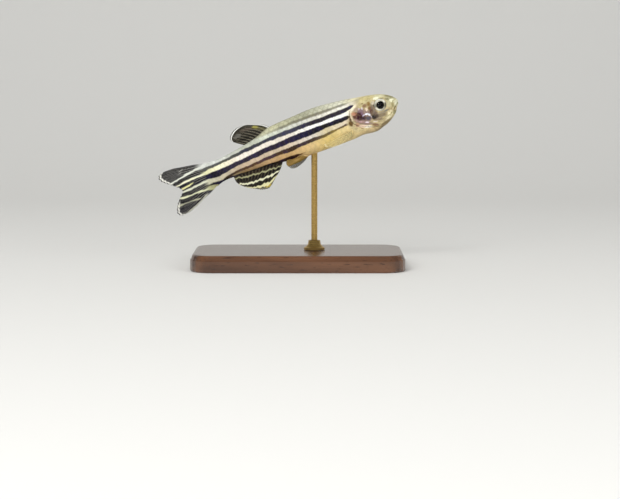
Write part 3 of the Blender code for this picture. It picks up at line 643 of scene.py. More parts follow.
@dataclass(frozen=True)
class Markings:
    """The zebra danio's colours, drawn once and shared by its skin and its scales."""

    wobble: float = 0.16
    wobble_size: float = 1.4
    fray: float = 0.1
    fray_size: float = 0.3
    dots_apart: float = 0.13
    settle: float = 0.08
    violet: str = "23215C"
    violet_patch: float = 1.2
    bands: tuple = (
        Band(
            "second stripe above",
            (
                (8.4, 3.78, 0.02), (9.4, 3.8, 0.17), (12.0, 3.8, 0.2), (15.0, 3.84, 0.25), (18.7, 3.82, 0.25),
                (21.5, 3.66, 0.2), (23.0, 3.58, 0.16), (25.0, 3.4, 0.08), (26.5, 3.3, -0.1),
            ),
            (
                (9.0, "9A9880"), (15.0, "78745F"), (20.0, "7C7B64"), (25.0, "B4B498"),
            ),
            0.95,
            0.15,
        ),
        Band(
            "first stripe above",
            (
                (7.6, 3.05, -0.1), (8.2, 2.96, 0.22), (9.4, 2.77, 0.34), (10.8, 2.7, 0.39), (13.3, 2.67, 0.38),
                (15.3, 2.66, 0.4), (17.2, 2.62, 0.36), (19.0, 2.61, 0.37), (21.0, 2.53, 0.36), (23.2, 2.47, 0.34),
                (25.5, 2.3, 0.28), (27.5, 2.09, 0.31), (29.3, 1.9, 0.31), (31.0, 1.7, 0.26), (33.0, 1.44, 0.24),
                (35.0, 1.33, 0.24), (37.0, 1.14, 0.3), (38.5, 1.0, 0.3),
            ),
            (
                (8.0, "29252D"), (16.0, "28242D"), (20.0, "3B3C49"), (28.0, "353638"), (33.0, "55564C"),
            ),
        ),
        Band(
            "first stripe below",
            (
                (8.9, 1.42, -0.1), (9.4, 1.42, 0.26), (10.3, 1.38, 0.37), (12.0, 1.32, 0.4), (13.5, 1.32, 0.4),
                (15.1, 1.23, 0.47), (16.9, 1.1, 0.52), (18.7, 1.14, 0.53), (20.5, 1.05, 0.51), (22.3, 0.95, 0.48),
                (24.0, 0.87, 0.45), (25.9, 0.73, 0.43), (27.3, 0.58, 0.43), (29.0, 0.41, 0.39), (31.0, 0.24, 0.41),
                (33.0, -0.05, 0.48), (35.0, -0.24, 0.59), (36.2, -0.24, 0.5), (37.0, -0.2, 0.42), (38.5, -0.35, 0.4),
            ),
            (
                (9.2, "33291C"), (10.5, "14110F"), (15.0, "0D0B10"), (18.0, "161533"), (22.0, "1E1526"),
                (32.0, "292231"), (35.2, "0A071C"),
            ),
        ),
        Band(
            "second stripe below",
            (
                (9.5, 0.18, 0.0), (9.9, 0.2, 0.18), (10.9, 0.17, 0.17), (11.8, 0.08, 0.14), (12.9, -0.06, 0.24),
                (15.0, -0.29, 0.27), (17.0, -0.29, 0.31), (19.0, -0.34, 0.32), (21.0, -0.54, 0.42), (23.0, -0.55, 0.32),
                (25.0, -0.65, 0.31), (27.0, -0.83, 0.28), (29.0, -0.96, 0.23), (31.8, -1.18, 0.2), (33.0, -1.42, 0.25),
                (34.5, -1.6, -0.1),
            ),
            (
                (9.8, "5A4526"), (13.0, "7A6836"), (17.0, "3A2C24"), (21.0, "33210F"), (26.0, "503522"),
                (31.0, "503824"), (33.5, "2A2012"),
            ),
        ),
        Band(
            "third stripe below",
            (
                (17.8, -1.9, -0.1), (19.1, -1.96, 0.06), (20.5, -1.97, 0.27), (22.3, -2.02, 0.35), (24.1, -2.1, 0.36),
                (27.7, -2.12, 0.38), (30.0, -2.0, 0.34), (32.0, -1.86, 0.29), (33.5, -1.84, 0.29), (35.2, -1.84, 0.33),
                (37.0, -1.52, 0.3), (38.5, -1.65, 0.35),
            ),
            ((18.0, "6D461A"), (20.5, "3A2006"), (23.0, "321C12"), (25.0, "0A0503")),
        ),
        Band(
            "upper lobe's foot",
            ((35.6, 2.9, -0.1), (36.2, 2.7, 0.1), (37.2, 2.75, 0.6), (38.5, 2.8, 0.7)),
            ((36.0, "24231F"), (38.0, "1C1B1C")),
        ),
        Band(
            "lower lobe's foot",
            ((35.6, -3.0, -0.1), (36.4, -2.95, 0.15), (37.4, -3.0, 0.4), (38.5, -3.1, 0.45)),
            ((36.0, "15130F"), (38.0, "0C0A0C")),
        ),
    )
    back_colours: tuple = (
        (5.5, "D5C894"), (10.0, "DBDAC4"), (17.0, "A8A88F"), (23.0, "C2C09F"), (29.0, "A2A48F"), (35.0, "C9C9BE"),
    )
    upper_pale: tuple = (
        (7.0, "B4A888"), (9.5, "F0EDE0"), (14.0, "DCD9CC"), (19.0, "CACBBF"), (24.5, "CBD1C0"), (28.0, "B6B8A7"),
        (34.5, "CED0C9"),
    )
    middle_pale: tuple = (
        (8.0, "EADFC2"), (10.5, "F4F5EC"), (16.0, "F1F0EB"), (20.5, "E0D8C9"), (30.0, "E8DFD2"), (35.0, "EFEAC4"),
        (37.0, "D8D6AA"),
    )
    lower_pale: tuple = (
        (9.0, "C0AE92"), (11.0, "DACDB4"), (14.0, "CCBF98"), (16.5, "D2CBC2"), (21.0, "CABAA1"), (30.0, "C9B398"),
        (36.5, "C1BFA6"),
    )
    belly_colours: tuple = (
        (6.0, "CDB684"), (11.0, "DEC98F"), (14.0, "D8C078"), (17.0, "D9BE86"), (21.0, "C6A36F"), (25.0, "C4A276"),
        (30.0, "8E7652"), (36.5, "A09F78"),
    )
    head_spots: tuple = (
        Spot("cover ground", (6.9, 0.55), (2.3, 1.65), 12, "7E6462", 0.9, 0.55),
        # Painted shade: the cheek behind and below the eye is darkened as if in shadow.
        Spot("cheek ground", (4.9, 0.7), (0.85, 1.9), 0, "71625A", 0.88, 0.45),
        Spot("under the eye", (3.5, 0.02), (1.25, 0.5), 4, "887D6A", 0.85),
        Spot("golden crown", (5.4, 3.5), (2.2, 0.5), 9, "C6B983", 0.85),
        Spot("crown", (3.0, 3.05), (1.3, 0.3), 18, "D6D3AC", 0.85),
        Spot("cream over the eye", (3.65, 2.86), (0.75, 0.34), 14, "F6F6D6", 0.95),
        Spot("snout", (1.1, 1.9), (1.5, 0.9), 35, "BAB792", 0.85),
        Spot("top of the snout", (1.3, 2.42), (1.1, 0.22), 34, "85835F", 0.85),
        # Painted shade in the socket just over the front of the eye.
        Spot("brow line", (2.75, 2.52), (0.6, 0.14), 4, "7F7C5C", 0.85),
        Spot("snout gold", (1.1, 1.55), (0.62, 0.42), 35, "F4F3D2", 0.95),
        Spot("nostril shade", (1.8, 2.08), (0.42, 0.28), 30, "7D7B58", 0.85),
        Spot("between eye and lip", (1.85, 1.2), (0.5, 0.85), 0, "C2BD98", 0.88),
        Spot("cheek front", (2.05, -0.25), (0.62, 0.45), -25, "ECE0BA", 0.95),
        Spot("chin", (2.4, -0.85), (1.35, 0.6), -32, "FAEFC4", 0.92),
        Spot("chin edge", (3.6, -2.05), (2.5, 0.62), -20, "7C6B4C", 0.88),
        Spot("throat", (6.3, -2.15), (2.3, 0.5), -3, "C6AE82", 0.75),
        Spot("throat gold", (8.4, -2.05), (1.8, 0.5), -3, "DAC38E", 0.85),
        # Painted shade along the skin under the front of the eye.
        Spot("grey under the eye", (2.5, 0.26), (0.62, 0.2), -6, "6C6A62", 0.9),
        Spot("cheek", (3.7, -0.3), (1.35, 0.5), 8, "857760", 0.92),
        Spot("cheek lower", (3.9, -1.25), (1.3, 0.38), -12, "B2A27E", 0.85),
        # Painted shade and shadow round the back of the eye: the cheek's shadow and its darkest core, shade on the
        # cheek beside the eye, and the rim's shadow just behind the eye.
        Spot("cheek shadow", (4.75, -0.1), (0.8, 0.75), 0, "463935", 0.97, 0.45),
        Spot("cheek deep", (5.15, -0.12), (0.5, 0.62), 0, "1E1819", 0.97, 0.4),
        Spot("grey beside the eye", (4.5, 0.4), (0.45, 0.42), 0, "6A5A52", 0.9, 0.3),
        Spot("dark behind the eye", (4.4, 1.75), (0.26, 0.5), 0, "443C35", 0.96),
        Spot("pale before the brown", (4.45, 2.3), (0.4, 0.45), 10, "DAD1BC", 0.8),
        Spot("brown behind the eye", (5.2, 2.4), (0.46, 0.62), 4, "82632F", 0.92, 0.35),
        Spot("rust", (5.28, 1.6), (0.42, 0.5), 0, "73502F", 0.92, 0.35),
        Spot("mauve", (5.2, 0.98), (0.4, 0.5), 8, "543430", 0.93, 0.4),
        Spot("tan", (5.95, 2.3), (0.6, 0.48), 0, "82644A", 0.92, 0.4),
        Spot("olive nape", (6.9, 2.95), (1.0, 0.38), 8, "B0A278", 0.9),
        Spot("olive fleck", (6.26, 2.83), (0.3, 0.16), -12, "7C6432", 0.85, 0.3),
        # Painted highlight on the nape.
        Spot("nape white", (7.65, 3.38), (0.5, 0.26), 8, "FFFEEC", 0.9),
        Spot("nape olive over", (6.9, 3.5), (0.42, 0.4), 8, "B5AE84", 0.85),
        Spot("nape tan", (7.4, 2.72), (0.6, 0.3), 8, "B5A483", 0.85),
        Spot("cover rosy", (7.8, 2.25), (0.95, 0.45), 4, "9E8A7A", 0.88),
        Spot("lilac haze", (6.95, 1.75), (0.85, 0.42), 0, "7E6874", 0.9),
        Spot("gill wine", (7.5, 0.95), (1.1, 0.88), 30, "3C1822", 1.0, 0.5),
        Spot("gill brown", (8.25, 1.1), (0.6, 0.55), 10, "56332A", 0.92),
        Spot("gill blush", (8.3, 1.66), (0.7, 0.45), 12, "B07C62", 0.92),
        Spot("brown fleck", (7.9, 1.74), (0.26, 0.14), 0, "6F3F26", 0.9, 0.3),
        Spot("gill wine deep", (7.3, 0.55), (0.8, 0.5), 28, "2B0C18", 0.92, 0.35),
        Spot("gill violet", (6.75, 0.3), (0.58, 0.48), 15, "2C1B30", 0.96),
        Spot("gill mauve", (6.85, 1.2), (0.34, 0.34), 10, "7C6376", 0.85, 0.3),
        Spot("gill slate", (6.12, 0.0), (0.62, 0.52), 10, "4C4A57", 0.94),
        # Painted highlights: lilac glints on the gill cover.
        Spot("lilac glint", (6.6, 1.98), (0.17, 0.36), 12, "F4EAF4", 0.95, 0.3),
        Spot("lilac glint behind", (7.14, 2.12), (0.15, 0.3), 12, "CFC0D2", 0.9, 0.3),
        Spot("bone cream", (5.9, 1.52), (0.27, 0.46), 4, "F2DEC8", 0.95, 0.35),
        # Painted highlight: a silver arch on the gill cover, its own silvery colour painted brighter as if catching the
        # light.
        Spot("silver arch behind", (6.68, 0.82), (0.38, 0.19), -19, "BDB4C4", 0.92, 0.4),
        Spot("silver arch over", (6.15, 0.85), (0.42, 0.24), 15, "F2F4FA", 0.98, 0.4),
        Spot("silver arch before", (5.73, 0.56), (0.38, 0.2), 55, "ECECF2", 0.97, 0.4),
        Spot("silver arch foot", (5.52, 0.12), (0.3, 0.12), 72, "C6C2CC", 0.9, 0.35),
        Spot("cover foot", (6.4, -0.9), (1.2, 0.32), 20, "8A7672", 0.88),
        Spot("lilac bar behind", (8.28, 0.36), (0.46, 0.15), 43, "B29088", 0.9),
        Spot("lilac bar", (7.45, -0.16), (0.66, 0.16), 24, "C09A9C", 0.92),
        Spot("lilac bar before", (6.5, -0.6), (0.55, 0.15), 25, "E8D8E0", 0.95),
        Spot("tan under the cheek", (4.3, -0.8), (0.95, 0.34), 10, "8C7A66", 0.92),
        Spot("cream streak", (5.1, -0.95), (0.58, 0.14), 20, "E6D8D0", 0.8),
        Spot("peach", (8.25, -0.5), (0.5, 0.5), 40, "BC9274", 0.9),
        Spot("peach bar", (7.5, -0.9), (0.88, 0.33), 17, "FFE2CA", 0.96),
        Spot("pink bar", (6.6, -1.4), (0.95, 0.28), 20, "FFF6E6", 0.97),
        Spot("brown under the cheek", (5.25, -1.5), (0.85, 0.42), 22, "805C46", 0.92, 0.35),
        Spot("rust fleck", (7.66, -1.33), (0.36, 0.13), 18, "855A38", 0.85, 0.3),
        Spot("cover rim", (8.9, 1.05), (0.14, 0.85), -5, "DCC8AE", 0.85),
        Spot("shoulder cream", (8.7, 2.3), (0.9, 0.22), -12, "DACDB2", 0.8),
        Spot("shoulder olive", (9.25, 1.6), (0.42, 0.5), 0, "74664E", 0.9),
        Spot("shoulder brown", (9.35, 0.1), (0.5, 0.72), 4, "553A12", 1.0, 0.4),
        Spot("shoulder brown over", (9.25, 0.9), (0.32, 0.42), 0, "5A4530", 0.95, 0.35),
        Spot("lips", (0.35, 0.9), (0.55, 0.85), 40, "E4E4C6", 0.9),
        Spot("lip shade", (1.15, 0.75), (0.28, 0.7), -16, "A29C72", 0.85),
        Spot("jaw shade", (1.25, -0.55), (0.5, 0.45), -30, "8C8960", 0.85),
    )
    lines: tuple = (
        Band(
            "mouth",
            ((-0.1, 1.0, 0.03), (0.0, 0.93, 0.05), (0.5, 0.55, 0.06), (0.95, 0.15, 0.05), (1.4, -0.35, 0.03), (1.6, -0.6, -0.1)),
            ((0.0, "453D26"), (1.5, "554B2C")),
            0.95,
            0.045,
        ),
        Band(
            "fold of the jaw",
            ((1.6, -0.7, -0.06), (2.0, -1.1, 0.02), (2.8, -1.58, 0.04), (3.8, -1.9, 0.03), (4.8, -2.05, -0.06)),
            ((1.6, "7C7049"), (4.8, "6B5A3A")),
            0.75,
            0.06,
        ),
    )
    head_end: tuple = (
        (-3.0, 8.8), (-1.8, 8.9), (-0.8, 9.6), (0.3, 9.95), (1.0, 9.4), (2.0, 8.7), (2.8, 7.5), (4.4, 5.6),
    )
    gill_line: tuple = (
        (-2.5, 3.2), (-2.3, 4.1), (-2.05, 4.9), (-1.8, 5.8), (-1.3, 7.0), (-0.65, 8.3), (0.1, 9.0), (0.9, 9.2),
        (1.5, 9.15), (2.25, 8.8), (2.8, 8.1),
    )

    def group(self, name: str, with_head: bool) -> bpy.types.NodeTree:
        """Draw the markings as a group that gives the colour and the place in mm.

        Args:
            name: the group's name.
            with_head: whether the head's colours are drawn too; the fins do without them.

        Returns:
            The group's tree.
        """
        tree = bpy.data.node_groups.new(name, "ShaderNodeTree")
        for label, kind in (("Colour", "NodeSocketColor"), ("Place", "NodeSocketVector")):
            tree.interface.new_socket(label, in_out="OUTPUT", socket_type=kind)
        place, back, height = self.unsteady(tree)
        colour = self.stripes(tree, back, height)
        if with_head:
            colour = self.head(tree, place, back, height, colour)
        colour = self.dots(tree, place, back, height, colour)
        add(tree, "NodeGroupOutput", {"Colour": colour, "Place": place})
        return tree

    def unsteady(self, tree: bpy.types.NodeTree) -> tuple:
        """Places on the fish, moved a little to and fro so that no edge is ruled."""
        place, back, height = PLACE.nodes(tree)
        moved = [back, add(tree, "ShaderNodeMath", {0: height, 1: self.settle}, operation="ADD").outputs[0]]
        for size, reach in ((self.wobble_size, self.wobble), (self.fray_size, self.fray)):
            noise = add(tree, "ShaderNodeTexNoise", {"Vector": place, "Scale": 1 / size, "Detail": 2.0})
            split = add(tree, "ShaderNodeSeparateColor", {0: noise.outputs["Color"]})
            for k in range(2):
                swing = add(
                    tree, "ShaderNodeMapRange", {"Value": split.outputs[k], 1: 0.0, 2: 1.0, 3: -reach, 4: reach}
                )
                moved[k] = add(tree, "ShaderNodeMath", {0: moved[k], 1: swing}, operation="ADD").outputs[0]
        return place, moved[0], moved[1]

    def stripes(self, tree: bpy.types.NodeTree, back, height) -> bpy.types.NodeSocket:
        """The pale grounds from belly to back, with the dark stripes over them."""
        grounds = (None, None, None, self.lower_pale, self.middle_pale, self.upper_pale, self.back_colours)
        colour, dark = along(tree, back, self.belly_colours), 0.0
        for band, ground in zip(reversed(self.bands), grounds, strict=True):
            here, tint, middle = band.nodes(tree, back, height)
            if ground:
                above = add(tree, "ShaderNodeMath", {0: height, 1: middle}, operation="SUBTRACT")
                share = add(tree, "ShaderNodeMapRange", {"Value": above, 1: -0.1, 2: 0.14})
                colour = mixed(tree, share, colour, along(tree, back, ground))
            colour = mixed(tree, here, colour, tint)
            dark = add(tree, "ShaderNodeMath", {0: dark, 1: here}, operation="MAXIMUM")
        cloud = add(
            tree,
            "ShaderNodeTexNoise",
            {"Vector": add(tree, "ShaderNodeCombineXYZ", {0: back, 1: height}), "Scale": 1 / self.violet_patch},
        )
        patch = add(tree, "ShaderNodeMapRange", {"Value": cloud.outputs[0], 1: 0.46, 2: 0.66, 3: 0.0, 4: 0.3})
        share = add(tree, "ShaderNodeMath", {0: patch, 1: dark}, operation="MULTIPLY")
        return mixed(tree, share, colour, linear(self.violet))

    def head(self, tree: bpy.types.NodeTree, place, back, height, body) -> bpy.types.NodeSocket:
        """The head's colours, with painted shade, shadow and highlights among them, over the front of the body's."""
        plane = add(tree, "ShaderNodeCombineXYZ", {0: back, 1: height})
        ground = ((-3.0, "A89870"), (-1.8, "CDBC8C"), (0.5, "BDAE86"), (2.4, "BDB084"), (3.6, "CFC596"))
        colour = along(tree, height, ground)
        for spot in self.head_spots:
            colour = mixed(tree, spot.nodes(tree, plane), colour, linear(spot.colour))
        # Three noise layers: brown mottle, small pale glints that are a painted highlight on the wet head, and fine
        # dark specks.
        for size, low, tint, most in ((0.5, 0.5, "7D673E", 0.42), (0.3, 0.56, "F2EBD6", 0.14), (0.18, 0.52, "4E4030", 0.32)):
            moved = add(tree, "ShaderNodeVectorMath", {0: place, 1: (size * 70, 0.0, 0.0)}, operation="ADD")
            noise = add(
                tree, "ShaderNodeTexNoise", {"Vector": moved, "Scale": 1 / size, "Detail": 3.0, "Roughness": 0.6}
            )
            share = add(tree, "ShaderNodeMapRange", {"Value": noise.outputs[0], 1: low, 2: low + 0.16, 3: 0.0, 4: most})
            colour = mixed(tree, share, colour, linear(tint))
        for line in self.lines:
            here, tint, _ = line.nodes(tree, back, height)
            colour = mixed(tree, here, colour, tint)
        edge = curve(tree, height, self.head_end)
        behind = add(tree, "ShaderNodeMath", {0: back, 1: edge}, operation="SUBTRACT")
        share = add(tree, "ShaderNodeMapRange", {"Value": behind, 1: -0.45, 2: 0.45}, interpolation_type="SMOOTHSTEP")
        colour = mixed(tree, share, colour, body)
        # Painted shadow: a dark line along the gill cover's free edge, in its slit, fading out near the top.
        crease = add(tree, "ShaderNodeMath", {0: back, 1: curve(tree, height, self.gill_line)}, operation="SUBTRACT")
        off = add(tree, "ShaderNodeMath", {0: crease}, operation="ABSOLUTE")
        here = add(tree, "ShaderNodeMapRange", {"Value": off, 1: 0.03, 2: 0.16, 3: 0.6, 4: 0.0})
        low = add(tree, "ShaderNodeMapRange", {"Value": height, 1: 2.1, 2: 2.7, 3: 1.0, 4: 0.0})
        here = add(tree, "ShaderNodeMath", {0: here, 1: low}, operation="MULTIPLY")
        return mixed(tree, here, colour, linear("5A4632"))

    def dots(self, tree: bpy.types.NodeTree, place, back, height, colour) -> bpy.types.NodeSocket:
        """Pigment cells: fine dark dots, dense along the back and sparse on the belly."""
        cells = add(tree, "ShaderNodeTexVoronoi", {"Vector": place, "Scale": 1 / self.dots_apart})
        dot = add(tree, "ShaderNodeMapRange", {"Value": cells.outputs["Distance"], 1: 0.2, 2: 0.42, 3: 1.0, 4: 0.0})
        dense = add(tree, "ShaderNodeMapRange", {"Value": height, 1: 1.6, 2: 4.4, 3: 0.06, 4: 0.5})
        patchy = add(tree, "ShaderNodeTexNoise", {"Vector": place, "Scale": 1.6, "Detail": 3.0})
        some = add(tree, "ShaderNodeMapRange", {"Value": patchy.outputs[0], 1: 0.4, 2: 0.62})
        share = add(tree, "ShaderNodeMath", {0: dot, 1: dense}, operation="MULTIPLY")
        share = add(tree, "ShaderNodeMath", {0: share, 1: some}, operation="MULTIPLY")
        colour = mixed(tree, share, colour, linear("5B4F33"))
        mottle = add(tree, "ShaderNodeTexNoise", {"Vector": place, "Scale": 0.9, "Detail": 4.0, "Roughness": 0.65})
        value = add(tree, "ShaderNodeMapRange", {"Value": mottle.outputs[0], 1: 0.3, 2: 0.7, 3: 0.84, 4: 1.1})
        return add(tree, "ShaderNodeHueSaturation", {"Value": value, "Color": colour}).outputs[0]


@dataclass(frozen=True)
class FishSkin:
    """Moist fish skin under clear lacquer: painted pigment with a wet, slightly uneven gloss."""

    name: str = "moist fish skin"
    roughness: float = 0.34
    specular: float = 0.22
    grain: float = 0.09
    grain_depth: float = 0.012

    def material(self, markings: bpy.types.NodeTree) -> bpy.types.Material:
        """Make the skin's material around the shared markings."""
        made = bpy.data.materials.new(self.name)
        made.use_nodes = True
        tree = made.node_tree
        shader = tree.nodes["Principled BSDF"]
        marks = add(tree, "ShaderNodeGroup", node_tree=markings)
        tree.links.new(marks.outputs["Colour"], shader.inputs["Base Color"])
        fine = add(
            tree, "ShaderNodeTexNoise", {"Vector": marks.outputs["Place"], "Scale": 1 / self.grain, "Detail": 4.0}
        )
        gloss = add(
            tree,
            "ShaderNodeMapRange",
            {"Value": fine.outputs[0], 1: 0.3, 2: 0.7, 3: self.roughness - 0.06, 4: self.roughness + 0.1},
        )
        tree.links.new(gloss.outputs[0], shader.inputs["Roughness"])
        bump = add(tree, "ShaderNodeBump", {"Height": fine.outputs[0], "Distance": self.grain_depth * MM})
        tree.links.new(bump.outputs[0], shader.inputs["Normal"])
        shader.inputs["Specular IOR Level"].default_value = self.specular
        return made


@dataclass(frozen=True)
class FishScale:
    """Cycloid scales: clear horny plates, so the pigment shows through, with a wet gloss.

    The growth rings of a real scale are 0.02 mm apart, too fine to show, so they are drawn about
    0.09 mm apart, which is 0.05 of a scale's length.
    """

    name: str = "wet cycloid scale"
    roughness: float = 0.3
    specular: float = 0.2
    rings_apart: float = 0.05
    ring_depth: float = 0.003

    def material(self, markings: bpy.types.NodeTree) -> bpy.types.Material:
        """Make the scales' material around the shared markings."""
        made = bpy.data.materials.new(self.name)
        made.use_nodes = True
        tree = made.node_tree
        shader = tree.nodes["Principled BSDF"]
        marks = add(tree, "ShaderNodeGroup", node_tree=markings)
        tone = add(tree, "ShaderNodeAttribute", attribute_name="tone")
        value = add(tree, "ShaderNodeMapRange", {"Value": tone.outputs["Fac"], 3: 0.9, 4: 1.06})
        colour = add(tree, "ShaderNodeHueSaturation", {"Value": value, "Color": marks.outputs["Colour"]})
        rim = add(tree, "ShaderNodeAttribute", attribute_name="rim")
        _, _, height = PLACE.nodes(tree)
        most = add(tree, "ShaderNodeMapRange", {"Value": height, 1: 2.6, 2: 4.2, 3: 0.16, 4: 0.42})
        edge = add(tree, "ShaderNodeMapRange", {"Value": rim.outputs["Fac"], 1: 0.8, 2: 1.0, 3: 0.0, 4: most})
        shade = mixed(tree, edge, colour.outputs[0], linear("635C46"))
        tree.links.new(shade, shader.inputs["Base Color"])
        rings = add(
            tree,
            "ShaderNodeMath",
            {0: rim.outputs["Fac"], 1: 2 * math.pi / self.rings_apart},
            operation="MULTIPLY",
        )
        ridge = add(tree, "ShaderNodeMath", {0: rings}, operation="SINE")
        bump = add(tree, "ShaderNodeBump", {"Height": ridge, "Distance": self.ring_depth * MM})
        tree.links.new(bump.outputs[0], shader.inputs["Normal"])
        shader.inputs["Roughness"].default_value = self.roughness
        shader.inputs["Specular IOR Level"].default_value = self.specular
        return made


@dataclass
class Skin:
    """One seamless skin over head, jaw, gill covers, trunk and tail stalk."""

    relief: HeadRelief = field(default_factory=HeadRelief)
    sides: int = 264
    nose_rings: int = 40
    nose_length: float = 1.0
    head_end: float = 9.9
    head_step: float = 0.045
    trunk_step: float = 0.3
    tail_step: float = 0.12
    head_inset: float = 0.06
    coat_depth: float = 0.08
    head_map_share: float = 0.5

    def stations(self) -> np.ndarray:
        """Where the rings lie: close at the blunt snout and over the head, wider along the trunk."""
        nose = self.nose_length * (np.arange(1, self.nose_rings + 1) / self.nose_rings) ** 2
        head = np.arange(self.nose_length + self.head_step, self.head_end, self.head_step)
        trunk = np.arange(self.head_end, 35.4, self.trunk_step)
        tail = np.arange(35.4, FORM.end, self.tail_step)
        return np.concatenate([nose, head, trunk, tail, [FORM.end]])

    def surface(self, back: np.ndarray, turn: np.ndarray) -> np.ndarray:
        """The skin's points: the plain body, drawn in by the coat's depth, with the head's relief."""
        points = FORM.section(back, turn)
        inset = self.head_inset + (self.coat_depth - self.head_inset) * smoothstep(back, 8.0, 10.5)
        inset = inset * smoothstep(back, 0.0, 0.5) * (1 - smoothstep(back, 36.0, 36.9))
        lift = self.relief.lift(points[..., 0], points[..., 2]) * (1 - smoothstep(back, 9.6, 10.2))
        points = points + (lift - inset)[..., None] * FORM.outward(back, turn)
        self.relief.seat_eyes(points)
        return points

    def unwrap(self, back: np.ndarray) -> np.ndarray:
        """Where a ring lies on the skin's map, with more room for the head."""
        ahead = self.head_map_share * back / self.head_end
        rest = (back - self.head_end) / (FORM.end - self.head_end)
        return np.where(back < self.head_end, ahead, self.head_map_share + (1 - self.head_map_share) * rest)

    def build(self, finish: bpy.types.Material) -> bpy.types.Object:
        """Make the skin as one closed mesh with its own map."""
        backs = self.stations()
        turns = 2 * np.pi * np.arange(self.sides) / self.sides
        points = self.surface(backs[:, None], turns[None, :])
        tip = np.array([0.06, 0.0, 0.9])
        mesh, rows, columns = grid_mesh("skin", PLACE.world(points), wrapped=True)
        set_map(mesh, BAKE_MAP, np.stack([self.unwrap(backs)[rows], columns / self.sides], -1))
        work = bmesh.new()
        work.from_mesh(mesh)
        spots = list(work.verts)
        layer = work.loops.layers.uv[BAKE_MAP]
        snout = work.verts.new(PLACE.world(tip))
        last = (len(backs) - 1) * self.sides
        for k in range(self.sides):
            n = (k + 1) % self.sides
            face = work.faces.new((spots[n], spots[k], snout))
            for loop, (column, ahead) in zip(face.loops, ((k + 1, 1), (k, 1), (k + 0.5, 0)), strict=True):
                loop[layer].uv = (ahead * float(self.unwrap(backs[0])), column / self.sides)
        for k in range(self.sides // 2):
            a, b = last + k, last + k + 1
            c, d = last + self.sides - 1 - k, last + (self.sides - k) % self.sides
            ring = list(dict.fromkeys((a, b, c, d)))
            if len(ring) > 2:
                face = work.faces.new([spots[v] for v in ring])
                for loop in face.loops:
                    loop[layer].uv = (1.0, 0.5)
        bmesh.ops.recalc_face_normals(work, faces=work.faces)
        for face in work.faces:
            face.smooth = True
        work.to_mesh(mesh)
        work.free()
        return object_of(mesh, finish)


class Coat(Enum):
    """The fields of scales, each one piece, with the pieces' names."""

    RIGHT = "scales_right"
    LEFT = "scales_left"
    BACK = "scales_back"
    BELLY = "scales_belly"


